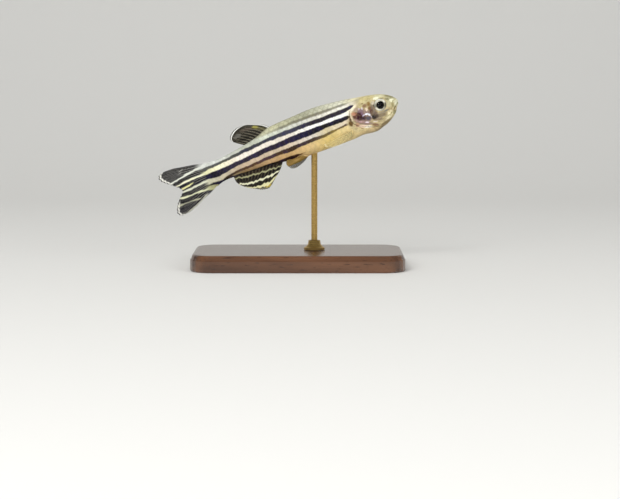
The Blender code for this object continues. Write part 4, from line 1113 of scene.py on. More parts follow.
@dataclass
class Scales:
    """Overlapping scales over the skin, in staggered rows along the body."""

    skin: Skin
    along_pitch: float = 0.93
    across_pitch: float = 0.82
    length: float = 1.75
    width: float = 1.85
    root_share: float = 0.3
    outline: tuple = ((0.0, 0.4), (0.3, 0.84), (0.55, 1.0), (0.78, 0.98), (0.92, 0.84), (1.0, 0.62))
    roundness: float = 0.34
    root_lift: float = -0.022
    edge_lift: float = 0.032
    side_drop: float = 0.004
    thickness: float = 0.026
    map_units: float = 64.0
    bake_columns: float = 40.0
    patch: float = 0.003
    sizes: Line = Line(((6.0, 0.85), (11.0, 1.0), (24.0, 1.0), (30.0, 0.84), (34.0, 0.74), (37.0, 0.62)))
    front: Line = Line(
        (
            (-3.2, 8.2), (-2.4, 8.3), (-1.6, 8.6), (-0.7, 9.2), (0.3, 9.75), (1.3, 9.85), (2.2, 9.5), (2.9, 8.8),
            (3.6, 7.7), (4.3, 7.0), (5.2, 6.6),
        )
    )
    guide_start: float = 5.0
    guide_step: float = 0.25
    guide_reach: float = 6.4

    def blank(self) -> bpy.types.Mesh:
        """One scale, flat on the guide's map: a thin closed plate, round behind and narrow at its root."""
        columns, rows = 6, len(self.outline) - 1
        verts, rims = [], []
        for t, share in self.outline:
            for i in range(columns + 1):
                s = 2 * i / columns - 1
                x = self.length * (t - self.root_share) - self.roundness * s * s * t
                lift = self.root_lift + (self.edge_lift - self.root_lift) * t - self.side_drop * s * s
                verts.append((x, 0.5 * self.width * share * s, lift * MM))
                rims.append(math.sqrt(min(1.0, t * t + (0.6 * s) ** 2 * t)))
        top = len(verts)
        edge = [(0, i) for i in range(columns + 1)] + [(j, columns) for j in range(1, rows + 1)]
        edge += [(rows, i) for i in range(columns - 1, -1, -1)] + [(j, 0) for j in range(rows - 1, 0, -1)]
        at = {spot: top + k for k, spot in enumerate(edge)}
        for j, i in edge:
            x, y, z = verts[j * (columns + 1) + i]
            verts.append((x, y, z - self.thickness * MM))
            rims.append(rims[j * (columns + 1) + i])
        faces = []
        for j in range(rows):
            for i in range(columns):
                a = j * (columns + 1) + i
                faces.append((a, a + 1, a + columns + 2, a + columns + 1))
        for (j, i), (m, n) in zip(edge, edge[1:] + edge[:1], strict=True):
            a, b = j * (columns + 1) + i, m * (columns + 1) + n
            faces.append((b, a, at[(j, i)], at[(m, n)]))
        under = [[at[(j, i)] for i in range(columns + 1)] for j in (0, rows)]
        faces.append((*under[0], at[(1, columns)], at[(1, 0)]))
        for j in range(1, rows - 1):
            faces.append((at[(j, 0)], at[(j, columns)], at[(j + 1, columns)], at[(j + 1, 0)]))
        faces.append((at[(rows - 1, 0)], at[(rows - 1, columns)], *reversed(under[1])))
        mesh = bpy.data.meshes.new("scale blank")
        mesh.from_pydata(verts, [], faces)
        work = bmesh.new()
        work.from_mesh(mesh)
        bmesh.ops.recalc_face_normals(work, faces=work.faces)
        work.to_mesh(mesh)
        work.free()
        set_values(mesh, "rim", np.array(rims))
        return mesh

    def guide(self, coat: Coat) -> bpy.types.Object:
        """A sheet on the skin, with a map in scale pitches, the way out and the room for scales."""
        backs = np.arange(self.guide_start, FORM.end, self.guide_step)
        middle = {Coat.BACK: 0.0, Coat.BELLY: np.pi}.get(coat, np.pi / 2)
        fine = np.linspace(middle - 2.75, middle + 2.75, 900)
        lines = np.linspace(-self.guide_reach, self.guide_reach, 90)
        points, outs, rooms, ups = [], [], [], []
        for back in backs:
            ring = FORM.section(np.full(fine.shape, back), fine)
            run = np.concatenate(([0.0], np.cumsum(np.linalg.norm(np.diff(ring, axis=0), axis=1))))
            run -= np.interp(middle, fine, run)
            size = self.across_pitch * float(self.sizes(back))
            turn = np.interp(-lines * size, run, fine)
            here = np.full(turn.shape, back)
            points.append(self.skin.surface(here, turn))
            outs.append(FORM.outward(here, turn))
            top, bottom = (float(np.interp(t, fine, run)) for t in (middle - np.pi / 2, middle + np.pi / 2))
            rooms.append(self.room(coat, back, points[-1][:, 2], lines * size, -top, bottom))
            ups.append(lines)
        points, outs = np.array(points), np.array(outs)
        if coat is Coat.RIGHT:
            points[..., 1] *= -1
            outs[..., 1] *= -1
        world = PLACE.world(points)
        outs = PLACE.world(points + outs) - world
        outs /= np.linalg.norm(outs, axis=-1, keepdims=True)
        a, b = len(backs) // 2, len(lines) // 2
        mesh, rows, columns = grid_mesh(f"guide {coat.value}", world, outward=outs[a, b])
        pitch = self.along_pitch * self.sizes(backs)
        count = np.concatenate(([0.0], np.cumsum(np.diff(backs) * 2 / (pitch[1:] + pitch[:-1]))))
        u = 0.5 + (count - count[-1] / 2) / self.map_units
        v = 0.5 + lines / self.map_units
        set_map(mesh, GUIDE_MAP, np.stack([u[rows], v[columns]], -1))
        set_values(mesh, "out", outs.reshape(-1, 3))
        set_values(mesh, "room", np.array(rooms).ravel())
        return object_of(mesh)

    def room(self, coat: Coat, back: float, height: np.ndarray, up: np.ndarray, top: float, bottom: float):
        """How far inside its field each place lies, in mm; below 0 no scale grows."""
        ahead = back - self.front(height)
        behind = 36.0 - back
        if coat in (Coat.BACK, Coat.BELLY):
            across = 0.3 - np.abs(up)
            if coat is Coat.BACK:
                ahead = np.full(up.shape, back - 7.2)
                fin = abs(back - 25.6) - 2.9
            else:
                ahead = np.full(up.shape, back - 9.2)
                fin = abs(back - 27.6) - 5.3
            return np.minimum.reduce([across, ahead, np.full(up.shape, behind), np.full(up.shape, fin)])
        return np.minimum.reduce([top - 0.3 - up, up + bottom - 0.3, ahead, np.full(up.shape, behind)])

    def shape(self) -> NodeShape:
        """The tree that sets scales in staggered rows and lays them on the skin."""
        made = NodeShape(
            "scale coat",
            {
                "Guide": "NodeSocketObject",
                "Columns": "NodeSocketInt",
                "Rows": "NodeSocketInt",
                "Turn": "NodeSocketFloat",
                "Spread": "NodeSocketFloat",
                "Map units": "NodeSocketFloat",
                "Bake columns": "NodeSocketFloat",
                "Patch": "NodeSocketFloat",
                "Seed": "NodeSocketInt",
                "Finish": "NodeSocketMaterial",
            },
        )
        tree, given = made.tree, made.given.outputs
        grid = add(
            tree,
            "GeometryNodeMeshGrid",
            {
                "Size X": made.math("SUBTRACT", given["Columns"], 1.0),
                "Size Y": made.math("SUBTRACT", given["Rows"], 1.0),
                "Vertices X": given["Columns"],
                "Vertices Y": given["Rows"],
            },
        )
        row = made.math("MODULO", add(tree, "GeometryNodeInputIndex").outputs[0], given["Rows"])
        stagger = made.math("MULTIPLY", made.math("MODULO", row, 2.0), 0.5)
        push = add(tree, "ShaderNodeCombineXYZ", {0: stagger})
        roots = add(tree, "GeometryNodeSetPosition", {"Geometry": grid, "Offset": push}).outputs[0]
        spot = add(tree, "GeometryNodeInputPosition").outputs[0]
        half = (0.5, 0.5, 0.0)
        share = made.math("DIVIDE", 1.0, given["Map units"])
        place = made.vector("ADD", made.scaled(spot, share), half)
        room = made.on_guide("room", "FLOAT", place)
        on_field = made.math("MULTIPLY", made.math("GREATER_THAN", room.outputs[0], 0.0), room.outputs[1])
        away = made.math("LESS_THAN", on_field, 0.5)
        kept = add(
            tree, "GeometryNodeDeleteGeometry", {"Geometry": roots, "Selection": away}, domain="POINT"
        ).outputs[0]
        kept = made.store(kept, "root", spot, "FLOAT_VECTOR")
        tone = add(tree, "FunctionNodeRandomValue", {"Seed": given["Seed"]}, data_type="FLOAT")
        kept = made.store(kept, "tone", tone.outputs[1], "FLOAT")
        turn = add(
            tree,
            "FunctionNodeRandomValue",
            {2: made.math("MULTIPLY", given["Turn"], -1.0), 3: given["Turn"], "Seed": 7},
            data_type="FLOAT",
        )
        size = add(
            tree,
            "FunctionNodeRandomValue",
            {2: made.math("SUBTRACT", 1.0, given["Spread"]), 3: made.math("ADD", 1.0, given["Spread"]), "Seed": 5},
            data_type="FLOAT",
        )
        plane = add(tree, "ShaderNodeCombineXYZ", {0: size.outputs[1], 1: size.outputs[1], 2: 1.0})
        laid = add(
            tree,
            "GeometryNodeInstanceOnPoints",
            {
                "Points": kept,
                "Instance": given["Geometry"],
                "Rotation": add(tree, "ShaderNodeCombineXYZ", {2: turn.outputs[1]}),
                "Scale": plane,
            },
        )
        real = add(tree, "GeometryNodeRealizeInstances", {"Geometry": laid}).outputs[0]
        root = made.stored("root", "FLOAT_VECTOR")
        from_root = made.vector("SUBTRACT", spot, root)
        stretch = made.math("DIVIDE", 1.0, given["Bake columns"])
        patch = made.vector("ADD", made.scaled(root, stretch), made.scaled(from_root, given["Patch"]))
        mapped = made.store(real, BAKE_MAP, made.vector("ADD", patch, half), "FLOAT2", "CORNER")
        base = made.on_guide("position", "FLOAT_VECTOR", place).outputs[0]
        out = made.on_guide("out", "FLOAT_VECTOR", place).outputs[0]
        lift = add(tree, "ShaderNodeSeparateXYZ", {0: spot}).outputs[2]
        lifted = made.vector("ADD", base, made.scaled(out, lift))
        made.finish(add(tree, "GeometryNodeSetPosition", {"Geometry": mapped, "Position": lifted}).outputs[0])
        return made

    def build(self, finish: bpy.types.Material) -> list[bpy.types.Object]:
        """Grow every field of scales."""
        shape = self.shape()
        pieces = []
        for seed, coat in enumerate(Coat):
            guide = self.guide(coat)
            sizes = {
                "Guide": guide,
                "Columns": 42,
                "Rows": 13 if coat in (Coat.LEFT, Coat.RIGHT) else 1,
                "Turn": math.radians(2.5),
                "Spread": 0.03,
                "Map units": self.map_units,
                "Bake columns": self.bake_columns,
                "Patch": self.patch / self.length,
                "Seed": seed,
                "Finish": finish,
            }
            piece = shape.make(coat.value, self.blank(), sizes)
            piece.data.set_sharp_from_angle(angle=math.radians(50))
            bpy.data.objects.remove(guide)
            pieces.append(piece)
        return pieces


@dataclass(frozen=True)
class Iris:
    """A fish's iris: silver guanine with fine spokes, dusky at its edge, round a black pupil; round the ring it is
    lighter or darker, partly its own pigment and partly painted light and shade.
    """

    name: str = "silver iris and black lens"
    pupil: float = 0.69
    centre: tuple = (3.3, 1.47)
    lens: tuple = (3.31, 1.42)
    # How light the iris is at each angle round its middle: partly its own dusky pigment, partly painted light and
    # shade.
    bright: tuple = (
        (-180, 0.12), (-150, 0.05), (-120, 0.4), (-90, 0.5), (-60, 0.84), (-30, 0.95), (0, 0.24), (30, 0.42),
        (60, 0.74), (90, 0.72), (120, 0.68), (150, 0.84), (180, 0.12),
    )

    def around(self, tree: bpy.types.NodeTree, plane: bpy.types.Node, middle: tuple) -> tuple:
        """Add nodes for the way from a middle to each place of the side view, and its length."""
        off = add(tree, "ShaderNodeVectorMath", {0: plane, 1: (*middle, 0.0)}, operation="SUBTRACT")
        return off.outputs[0], add(tree, "ShaderNodeVectorMath", {0: off}, operation="LENGTH").outputs["Value"]

    def material(self) -> bpy.types.Material:
        """Make the eyeball's material, drawn round the eye's middle."""
        made = bpy.data.materials.new(self.name)
        made.use_nodes = True
        tree = made.node_tree
        shader = tree.nodes["Principled BSDF"]
        _, back, height = PLACE.nodes(tree)
        plane = add(tree, "ShaderNodeCombineXYZ", {0: back, 1: height})
        off, radius = self.around(tree, plane, self.centre)
        _, from_lens = self.around(tree, plane, self.lens)
        split = add(tree, "ShaderNodeSeparateXYZ", {0: off})
        angle = add(tree, "ShaderNodeMath", {0: split.outputs[1], 1: split.outputs[0]}, operation="ARCTAN2")
        polar = add(tree, "ShaderNodeCombineXYZ", {0: angle, 1: radius})
        spokes = add(
            tree,
            "ShaderNodeTexNoise",
            {
                "Vector": add(tree, "ShaderNodeMapping", {"Vector": polar, "Scale": (7.0, 2.6, 1.0)}),
                "Scale": 1.0,
                "Detail": 4.0,
            },
        )
        # Painted light and shade round the iris, mixed with its own dusky pigment.
        bright = curve(tree, angle, tuple((math.radians(turn), share) for turn, share in self.bright))
        silver = mixed(tree, bright, linear("45432F"), linear("EFEDDC"))
        shade = add(tree, "ShaderNodeMapRange", {"Value": spokes.outputs[0], 1: 0.42, 2: 0.72, 3: 0.0, 4: 0.5})
        silver = mixed(tree, shade, silver, linear("94927E"))
        gold = add(tree, "ShaderNodeMapRange", {"Value": from_lens, 1: self.pupil, 2: self.pupil + 0.09, 3: 0.5, 4: 0.0})
        silver = mixed(tree, gold, silver, linear("D9CE9E"))
        dusk = add(tree, "ShaderNodeMapRange", {"Value": radius, 1: 0.98, 2: 1.1, 3: 0.0, 4: 0.4})
        silver = mixed(tree, dusk, silver, linear("5A5242"))
        lens = add(
            tree,
            "ShaderNodeMapRange",
            {"Value": from_lens, 1: self.pupil - 0.015, 2: self.pupil + 0.015, 3: 1.0, 4: 0.0},
        )
        tree.links.new(mixed(tree, lens, silver, linear("020203")), shader.inputs["Base Color"])
        bump = add(tree, "ShaderNodeBump", {"Height": spokes.outputs[0], "Distance": 0.012 * MM})
        tree.links.new(bump.outputs[0], shader.inputs["Normal"])
        shader.inputs["Roughness"].default_value = 0.5
        shader.inputs["Specular IOR Level"].default_value = 0.06
        return made


@dataclass(frozen=True)
class Cornea:
    """Clear lacquer dome over the iris, thinner than glass so that the pupil stays black."""

    name: str = "clear cornea"

    def material(self) -> bpy.types.Material:
        """Make the dome's glass."""
        made = bpy.data.materials.new(self.name)
        made.use_nodes = True
        shader = made.node_tree.nodes["Principled BSDF"]
        shader.inputs["Base Color"].default_value = (1.0, 1.0, 1.0, 1.0)
        shader.inputs["Transmission Weight"].default_value = 1.0
        shader.inputs["Roughness"].default_value = 0.03
        shader.inputs["IOR"].default_value = 1.18
        return made


@dataclass
class Eyes:
    """Two eyes: an eyeball with its iris and lens, and a clear cornea over it."""

    back: float = 3.3
    height: float = 1.47
    side: float = 1.06
    turns: int = 72
    ball: tuple = (
        (0.0, -0.72), (0.5, -0.64), (0.85, -0.42), (1.05, -0.1), (1.12, 0.1), (1.12, 0.24), (1.09, 0.33),
        (1.03, 0.4), (0.94, 0.45), (0.82, 0.48), (0.7, 0.49), (0.65, 0.485), (0.62, 0.5), (0.5, 0.56),
        (0.34, 0.6), (0.17, 0.62), (0.0, 0.63),
    )
    dome_radius: float = 1.05
    dome_height: float = 0.78
    dome_wall: float = 0.05

    def turned(self, name: str, profile: tuple, side: Side, finish: bpy.types.Material) -> bpy.types.Object:
        """Turn a (radius, out) profile about the eye's axis; a radius of 0 is a pole."""
        work = bmesh.new()
        rings = []
        for radius, out in profile:
            spots = [(self.back, side.value * (self.side + out), self.height)]
            if radius > 0:
                angles = [2 * math.pi * k / self.turns for k in range(self.turns)]
                spots = [
                    (self.back + radius * math.cos(a), spots[0][1], self.height + radius * math.sin(a))
                    for a in angles
                ]
            rings.append([work.verts.new(p) for p in PLACE.world(np.array(spots))])
        for near, far in zip(rings[:-1], rings[1:], strict=True):
            for k in range(self.turns):
                m = (k + 1) % self.turns
                ring = [near[k % len(near)], near[m % len(near)], far[m % len(far)], far[k % len(far)]]
                ring = list(dict.fromkeys(ring))
                if len(ring) > 2:
                    work.faces.new(ring)
        bmesh.ops.recalc_face_normals(work, faces=work.faces)
        mesh = bpy.data.meshes.new(name)
        work.to_mesh(mesh)
        work.free()
        mesh.shade_smooth()
        return object_of(mesh, finish)

    def dome(self) -> tuple:
        """The cornea's closed profile, over the outside and back along the inside."""
        angles = np.radians(np.linspace(14, 90, 12))
        over = [(self.dome_radius * math.cos(a), self.dome_height * math.sin(a)) for a in angles]
        wall = self.dome_wall
        under = [
            ((self.dome_radius - wall) * math.cos(a), (self.dome_height - wall) * math.sin(a))
            for a in reversed(angles)
        ]
        profile = [(0.0 if r < 1e-6 else r, out) for r, out in (*over, *under)]
        return (*profile, profile[0])

    def build(self) -> None:
        """Make and fix both eyes."""
        iris, glass = Iris().material(), Cornea().material()
        for side in Side:
            eye = self.turned(f"eyeball_{side.word}", self.ball, side, iris)
            finished(eye, "eye", f"eye_{side.word}")
            cornea = self.turned(f"cornea_{side.word}", self.dome(), side, glass)
            work = bmesh.new()
            work.from_mesh(cornea.data)
            bmesh.ops.remove_doubles(work, verts=work.verts, dist=1e-7)
            bmesh.ops.recalc_face_normals(work, faces=work.faces)
            work.to_mesh(cornea.data)
            work.free()
            finished(cornea, "eye")


@dataclass(frozen=True)
class Streak:
    """A pale line across a fin: its course as (back, height, half width)."""

    course: tuple
    colour: str
    strength: float = 0.9
    softness: float = 0.08

    def nodes(self, tree: bpy.types.NodeTree, back, height) -> bpy.types.NodeSocket:
        """Add the nodes for how much of the streak is at a place."""
        plain = ((0.0, self.colour), (1.0, self.colour))
        return Band("streak", self.course, plain, self.strength, self.softness).nodes(tree, back, height)[0]


@dataclass(frozen=True)
class FinFilm:
    """Fin membrane and rays: a clear wet film with pale streaks and dark pigment between them."""

    name: str
    clear: str = "2F2B26"
    clearness: float = 0.72
    streaks: tuple = ()
    shades: tuple = ()
    spots: tuple = ()
    ray: str = "B9B2A2"
    ray_strength: float = 0.75
    ray_fade: float = 0.5
    edge: str = "D9D9D2"
    edge_at: float = 0.955
    edge_half: float = 0.03
    edge_strength: float = 0.8
    lead_at: float = 0.3
    lead_half: float = 0.3
    lead_strength: float = 0.0
    cloud: str = "4C463C"
    edge_where: tuple = ((0.0, 1.0), (20.0, 1.0))
    ray_cover: float = 0.9
    root: float = 0.1
    jitter: float = 0.1

    def material(self, markings: bpy.types.NodeTree) -> bpy.types.Material:
        """Make the fin's material, with its alpha from how much pigment lies at each place.

        Args:
            markings: the body's markings, which run a little way onto the fin.
        """
        made = bpy.data.materials.new(self.name)
        made.use_nodes = True
        tree = made.node_tree
        shader = tree.nodes["Principled BSDF"]
        place, back, height = PLACE.nodes(tree)
        height = self.broken(tree, place, height)
        plane = add(tree, "ShaderNodeCombineXYZ", {0: back, 1: height})
        colour, cover = linear(self.clear), self.clearness
        cloud = add(tree, "ShaderNodeTexNoise", {"Vector": place, "Scale": 1.1, "Detail": 4.0})
        thick = add(tree, "ShaderNodeMapRange", {"Value": cloud.outputs[0], 1: 0.35, 2: 0.65, 3: 0.0, 4: 0.25})
        colour = mixed(tree, thick, colour, linear(self.cloud))
        for spot in self.spots:
            here = spot.nodes(tree, plane)
            colour = mixed(tree, here, colour, linear(spot.colour))
            cover = self.denser(tree, cover, here, 0.85)
        rod = add(tree, "ShaderNodeAttribute", attribute_name="ray").outputs["Fac"]
        lit = add(tree, "ShaderNodeMath", {0: rod, 1: self.ray_strength}, operation="MULTIPLY").outputs[0]
        colour = mixed(tree, lit, colour, linear(self.ray))
        cover = self.denser(tree, cover, rod, self.ray_cover)
        for streak in self.shades:
            here = streak.nodes(tree, back, height)
            faded = add(tree, "ShaderNodeMath", {0: rod, 1: -self.ray_fade, 2: 1.0}, operation="MULTIPLY_ADD")
            share = add(tree, "ShaderNodeMath", {0: here, 1: faded}, operation="MULTIPLY")
            colour = mixed(tree, share, colour, linear(streak.colour))
            cover = self.denser(tree, cover, here, 0.97)
        for streak in self.streaks:
            here = streak.nodes(tree, back, height)
            colour = mixed(tree, here, colour, linear(streak.colour))
            cover = self.denser(tree, cover, here, 0.97)
        reach = add(tree, "ShaderNodeAttribute", attribute_name="reach").outputs["Fac"]
        lot = add(tree, "ShaderNodeAttribute", attribute_name="across").outputs["Fac"]
        rim = self.line(tree, reach, self.edge_at, self.edge_half, self.edge_strength)
        rim = add(tree, "ShaderNodeMath", {0: rim, 1: curve(tree, lot, self.edge_where)}, operation="MULTIPLY")
        lead = self.line(tree, lot, self.lead_at, self.lead_half, self.lead_strength)
        rim = add(tree, "ShaderNodeMath", {0: rim, 1: lead}, operation="MAXIMUM").outputs[0]
        colour = mixed(tree, rim, colour, linear(self.edge))
        cover = self.denser(tree, cover, rim, 0.95)
        marks = add(tree, "ShaderNodeGroup", node_tree=markings)
        foot = add(
            tree,
            "ShaderNodeMapRange",
            {"Value": reach, 1: 0.35 * self.root, 2: self.root, 3: 1.0, 4: 0.0},
            interpolation_type="SMOOTHSTEP",
        ).outputs[0]
        colour = mixed(tree, foot, colour, marks.outputs["Colour"])
        cover = self.denser(tree, cover, foot, 1.0)
        tree.links.new(colour, shader.inputs["Base Color"])
        tree.links.new(cover, shader.inputs["Alpha"])
        shader.inputs["Roughness"].default_value = 0.34
        shader.inputs["Specular IOR Level"].default_value = 0.15
        fine = add(tree, "ShaderNodeTexNoise", {"Vector": place, "Scale": 9.0, "Detail": 2.0})
        bump = add(tree, "ShaderNodeBump", {"Height": fine.outputs[0], "Distance": 0.01 * MM})
        tree.links.new(bump.outputs[0], shader.inputs["Normal"])
        return made

    def line(self, tree: bpy.types.NodeTree, value, at: float, half: float, strength: float) -> bpy.types.NodeSocket:
        """How much of a soft line is at a place, for a line where value equals at."""
        off = add(tree, "ShaderNodeMath", {0: value, 1: at}, operation="SUBTRACT")
        gap = add(tree, "ShaderNodeMath", {0: off}, operation="ABSOLUTE")
        return add(
            tree,
            "ShaderNodeMapRange",
            {"Value": gap, 1: 0.4 * half, 2: half, 3: strength, 4: 0.0},
            interpolation_type="SMOOTHSTEP",
        ).outputs[0]

    def broken(self, tree: bpy.types.NodeTree, place, height) -> bpy.types.NodeSocket:
        """The height, shifted a little from ray to ray, so that the streaks step across them."""
        noise = add(tree, "ShaderNodeTexNoise", {"Vector": place, "Scale": 1.2, "Detail": 3.0})
        swing = add(tree, "ShaderNodeMapRange", {"Value": noise.outputs[0], 3: -0.16, 4: 0.16})
        across = add(tree, "ShaderNodeAttribute", attribute_name="across").outputs["Fac"]
        own = add(tree, "ShaderNodeTexNoise", {"W": across, "Scale": 1.0, "Detail": 0.0}, noise_dimensions="1D")
        step = add(tree, "ShaderNodeMapRange", {"Value": own.outputs[0], 1: 0.3, 2: 0.7, 3: -self.jitter, 4: self.jitter})
        height = add(tree, "ShaderNodeMath", {0: height, 1: swing}, operation="ADD")
        return add(tree, "ShaderNodeMath", {0: height, 1: step}, operation="ADD").outputs[0]

    def denser(self, tree: bpy.types.NodeTree, cover, share, full: float) -> bpy.types.NodeSocket:
        """Raise the cover towards full where share is high."""
        return add(tree, "ShaderNodeMix", {0: share, 2: cover, 3: full}).outputs[0]


def median(points: tuple) -> Path:
    """A path in the fish's middle plane through (back, height) points."""
    return Path(tuple((back, 0.0, height) for back, height in points))


@dataclass
class Fin:
    """A fin between four paths: a thin membrane with tapering, branching rays."""

    name: str
    base: Path
    tip: Path
    front: Path
    rear: Path
    rays: int
    film: FinFilm
    steps: int = 22
    root_half: float = 0.05
    edge_half: float = 0.014
    ray_root: float = 0.075
    ray_tip: float = 0.022
    branch_at: float = 0.45
    wave: float = 0.05
    notch: float = 0.02

    def sheet(self, rows: int, columns: int, notched: bool) -> np.ndarray:
        """Points of the fin's middle sheet, row by row from the base to the outer edge."""
        t = np.linspace(0, 1, rows + 1)[:, None, None]
        s = np.linspace(0, 1, columns + 1)[None, :, None]
        if notched:
            valley = 1 - np.abs(np.cos(np.pi * s * self.rays))
            t = t * (1 - self.notch * valley)
        base, tip = self.base(s[..., 0]), self.tip(s[..., 0])
        front, rear = self.front(t[..., 0]), self.rear(t[..., 0])
        corners = [self.base(0.0), self.base(1.0), self.tip(0.0), self.tip(1.0)]
        ruled = (1 - t) * base + t * tip + (1 - s) * front + s * rear
        shared = (1 - t) * ((1 - s) * corners[0] + s * corners[1]) + t * ((1 - s) * corners[2] + s * corners[3])
        sheet = ruled - shared
        sheet[..., 1] += self.wave * np.sin(2 * np.pi * (1.3 * s + 0.6 * t))[..., 0] * t[..., 0]
        return sheet

    def membrane(self) -> bpy.types.Mesh:
        """The film between the rays, as one thin closed plate."""
        columns = 4 * self.rays
        sheet = self.sheet(self.steps, columns, True)
        normals = np.cross(np.gradient(sheet, axis=0), np.gradient(sheet, axis=1))
        normals /= np.maximum(np.linalg.norm(normals, axis=-1, keepdims=True), 1e-9)
        t = np.linspace(0, 1, self.steps + 1)[:, None, None]
        half = self.root_half + (self.edge_half - self.root_half) * t
        faces_of = [PLACE.world(sheet + sign * half * normals) for sign in (1, -1)]
        rows, columns = sheet.shape[:2]
        count = rows * columns
        verts = np.concatenate([f.reshape(-1, 3) for f in faces_of])
        index = np.arange(count).reshape(rows, columns)
        quads = np.stack([index[:-1, :-1], index[:-1, 1:], index[1:, 1:], index[1:, :-1]], -1).reshape(-1, 4)
        rim = [*index[0], *index[1:, -1], *index[-1, -2::-1], *index[-2:0:-1, 0]]
        sides = [(a, b, b + count, a + count) for a, b in zip(rim, rim[1:] + rim[:1], strict=True)]
        mesh = bpy.data.meshes.new(f"{self.name}_membrane")
        faces = [*quads.tolist(), *(quads[:, ::-1] + count).tolist(), *[tuple(map(int, f)) for f in sides]]
        mesh.from_pydata(verts.tolist(), [], faces)
        work = bmesh.new()
        work.from_mesh(mesh)
        bmesh.ops.recalc_face_normals(work, faces=work.faces)
        work.to_mesh(mesh)
        work.free()
        reach = np.broadcast_to(t[..., 0], (rows, columns)).ravel()
        across = np.broadcast_to(np.linspace(0, self.rays, columns)[None, :], (rows, columns)).ravel()
        for label, values in (("reach", reach), ("across", across), ("ray", 0 * reach)):
            set_values(mesh, label, np.concatenate([values, values]))
        return mesh

    def guide(self) -> bpy.types.Object:
        """The middle sheet alone, with its map from front to rear and from base to edge."""
        sheet = self.sheet(self.steps, 2 * self.rays, False)
        mesh, rows, columns = grid_mesh(f"guide {self.name}", PLACE.world(sheet))
        set_map(mesh, GUIDE_MAP, np.stack([columns / (2 * self.rays), rows / self.steps], -1))
        return object_of(mesh)

    def build(self, shape: NodeShape, markings: bpy.types.NodeTree) -> bpy.types.Object:
        """Make the fin: membrane and rays in one piece.

        Args:
            shape: the tree that draws rays on a guide beside the membrane.
            markings: the body's markings.

        Returns:
            The finished piece, not yet fixed to the model.
        """
        guide = self.guide()
        sizes = {
            "Guide": guide,
            "Rays": self.rays,
            "Points": 30,
            "Root radius": self.ray_root * MM,
            "Tip radius": self.ray_tip * MM,
            "Branch at": self.branch_at,
            "Spread": 0.5,
            "Joint depth": 0.14,
            "Finish": self.film.material(markings),
        }
        fin = shape.make(self.name, self.membrane(), sizes)
        bpy.data.objects.remove(guide)
        return fin


def ray_shape() -> NodeShape:
    """The tree for fin rays: pairs of thin jointed rods that part towards the fin's edge."""
    made = NodeShape(
        "fin rays",
        {
            "Guide": "NodeSocketObject",
            "Rays": "NodeSocketInt",
            "Points": "NodeSocketInt",
            "Root radius": "NodeSocketFloat",
            "Tip radius": "NodeSocketFloat",
            "Branch at": "NodeSocketFloat",
            "Spread": "NodeSocketFloat",
            "Joint depth": "NodeSocketFloat",
            "Finish": "NodeSocketMaterial",
        },
    )
    tree, given = made.tree, made.given.outputs
    count = made.math("MULTIPLY", given["Rays"], 2.0)
    roots = add(tree, "GeometryNodePoints", {"Count": count}).outputs[0]
    roots = made.store(roots, "strand", add(tree, "GeometryNodeInputIndex").outputs[0], "FLOAT")
    line = add(tree, "GeometryNodeCurvePrimitiveLine", {"End": (0.0, 1.0, 0.0)})
    line = add(tree, "GeometryNodeResampleCurve", {"Curve": line, "Count": given["Points"]})
    laid = add(tree, "GeometryNodeInstanceOnPoints", {"Points": roots, "Instance": line})
    real = add(tree, "GeometryNodeRealizeInstances", {"Geometry": laid}).outputs[0]
    strand = made.stored("strand", "FLOAT")
    twin = made.math("SUBTRACT", made.math("MULTIPLY", made.math("MODULO", strand, 2.0), 2.0), 1.0)
    ray = made.math("FLOOR", made.math("MULTIPLY", strand, 0.5))
    share = add(tree, "GeometryNodeSplineParameter").outputs["Factor"]
    past = made.math("MAXIMUM", made.math("SUBTRACT", share, given["Branch at"]), 0.0)
    parted = made.math("MULTIPLY_ADD", past, given["Spread"], 0.09)
    parted = made.math("MULTIPLY", parted, made.math("GREATER_THAN", ray, 0.5))
    across = made.math("ADD", made.math("ADD", ray, 0.5), made.math("MULTIPLY", parted, twin))
    across = made.math("DIVIDE", across, given["Rays"])
    place = add(tree, "ShaderNodeCombineXYZ", {0: across, 1: made.math("MULTIPLY", share, 0.985)}).outputs[0]
    for label, value in (("reach", share), ("across", made.math("ADD", ray, 0.5)), ("ray", 1.0)):
        real = made.store(real, label, value, "FLOAT")
    spot = made.on_guide("position", "FLOAT_VECTOR", place).outputs[0]
    joint = made.math("MODULO", add(tree, "GeometryNodeInputIndex").outputs[0], 2.0)
    slim = made.math("SUBTRACT", 1.0, made.math("MULTIPLY", joint, given["Joint depth"]))
    taper = add(
        tree, "ShaderNodeMapRange", {"Value": share, 3: given["Root radius"], 4: given["Tip radius"]}
    ).outputs[0]
    radius = made.math("MULTIPLY", taper, slim)
    real = made.store(real, "thick", radius, "FLOAT")
    set_on = add(tree, "GeometryNodeSetPosition", {"Geometry": real, "Position": spot}).outputs[0]
    circle = add(tree, "GeometryNodeCurvePrimitiveCircle", {"Resolution": 6, "Radius": 1.0})
    rods = add(
        tree,
        "GeometryNodeCurveToMesh",
        {"Curve": set_on, "Profile Curve": circle, "Scale": made.stored("thick", "FLOAT"), "Fill Caps": True},
    )
    both = add(tree, "GeometryNodeJoinGeometry", {"Geometry": given["Geometry"]})
    tree.links.new(rods.outputs[0], both.inputs["Geometry"])
    made.finish(both.outputs[0])
    return made


CREAM = "E6E4C6"


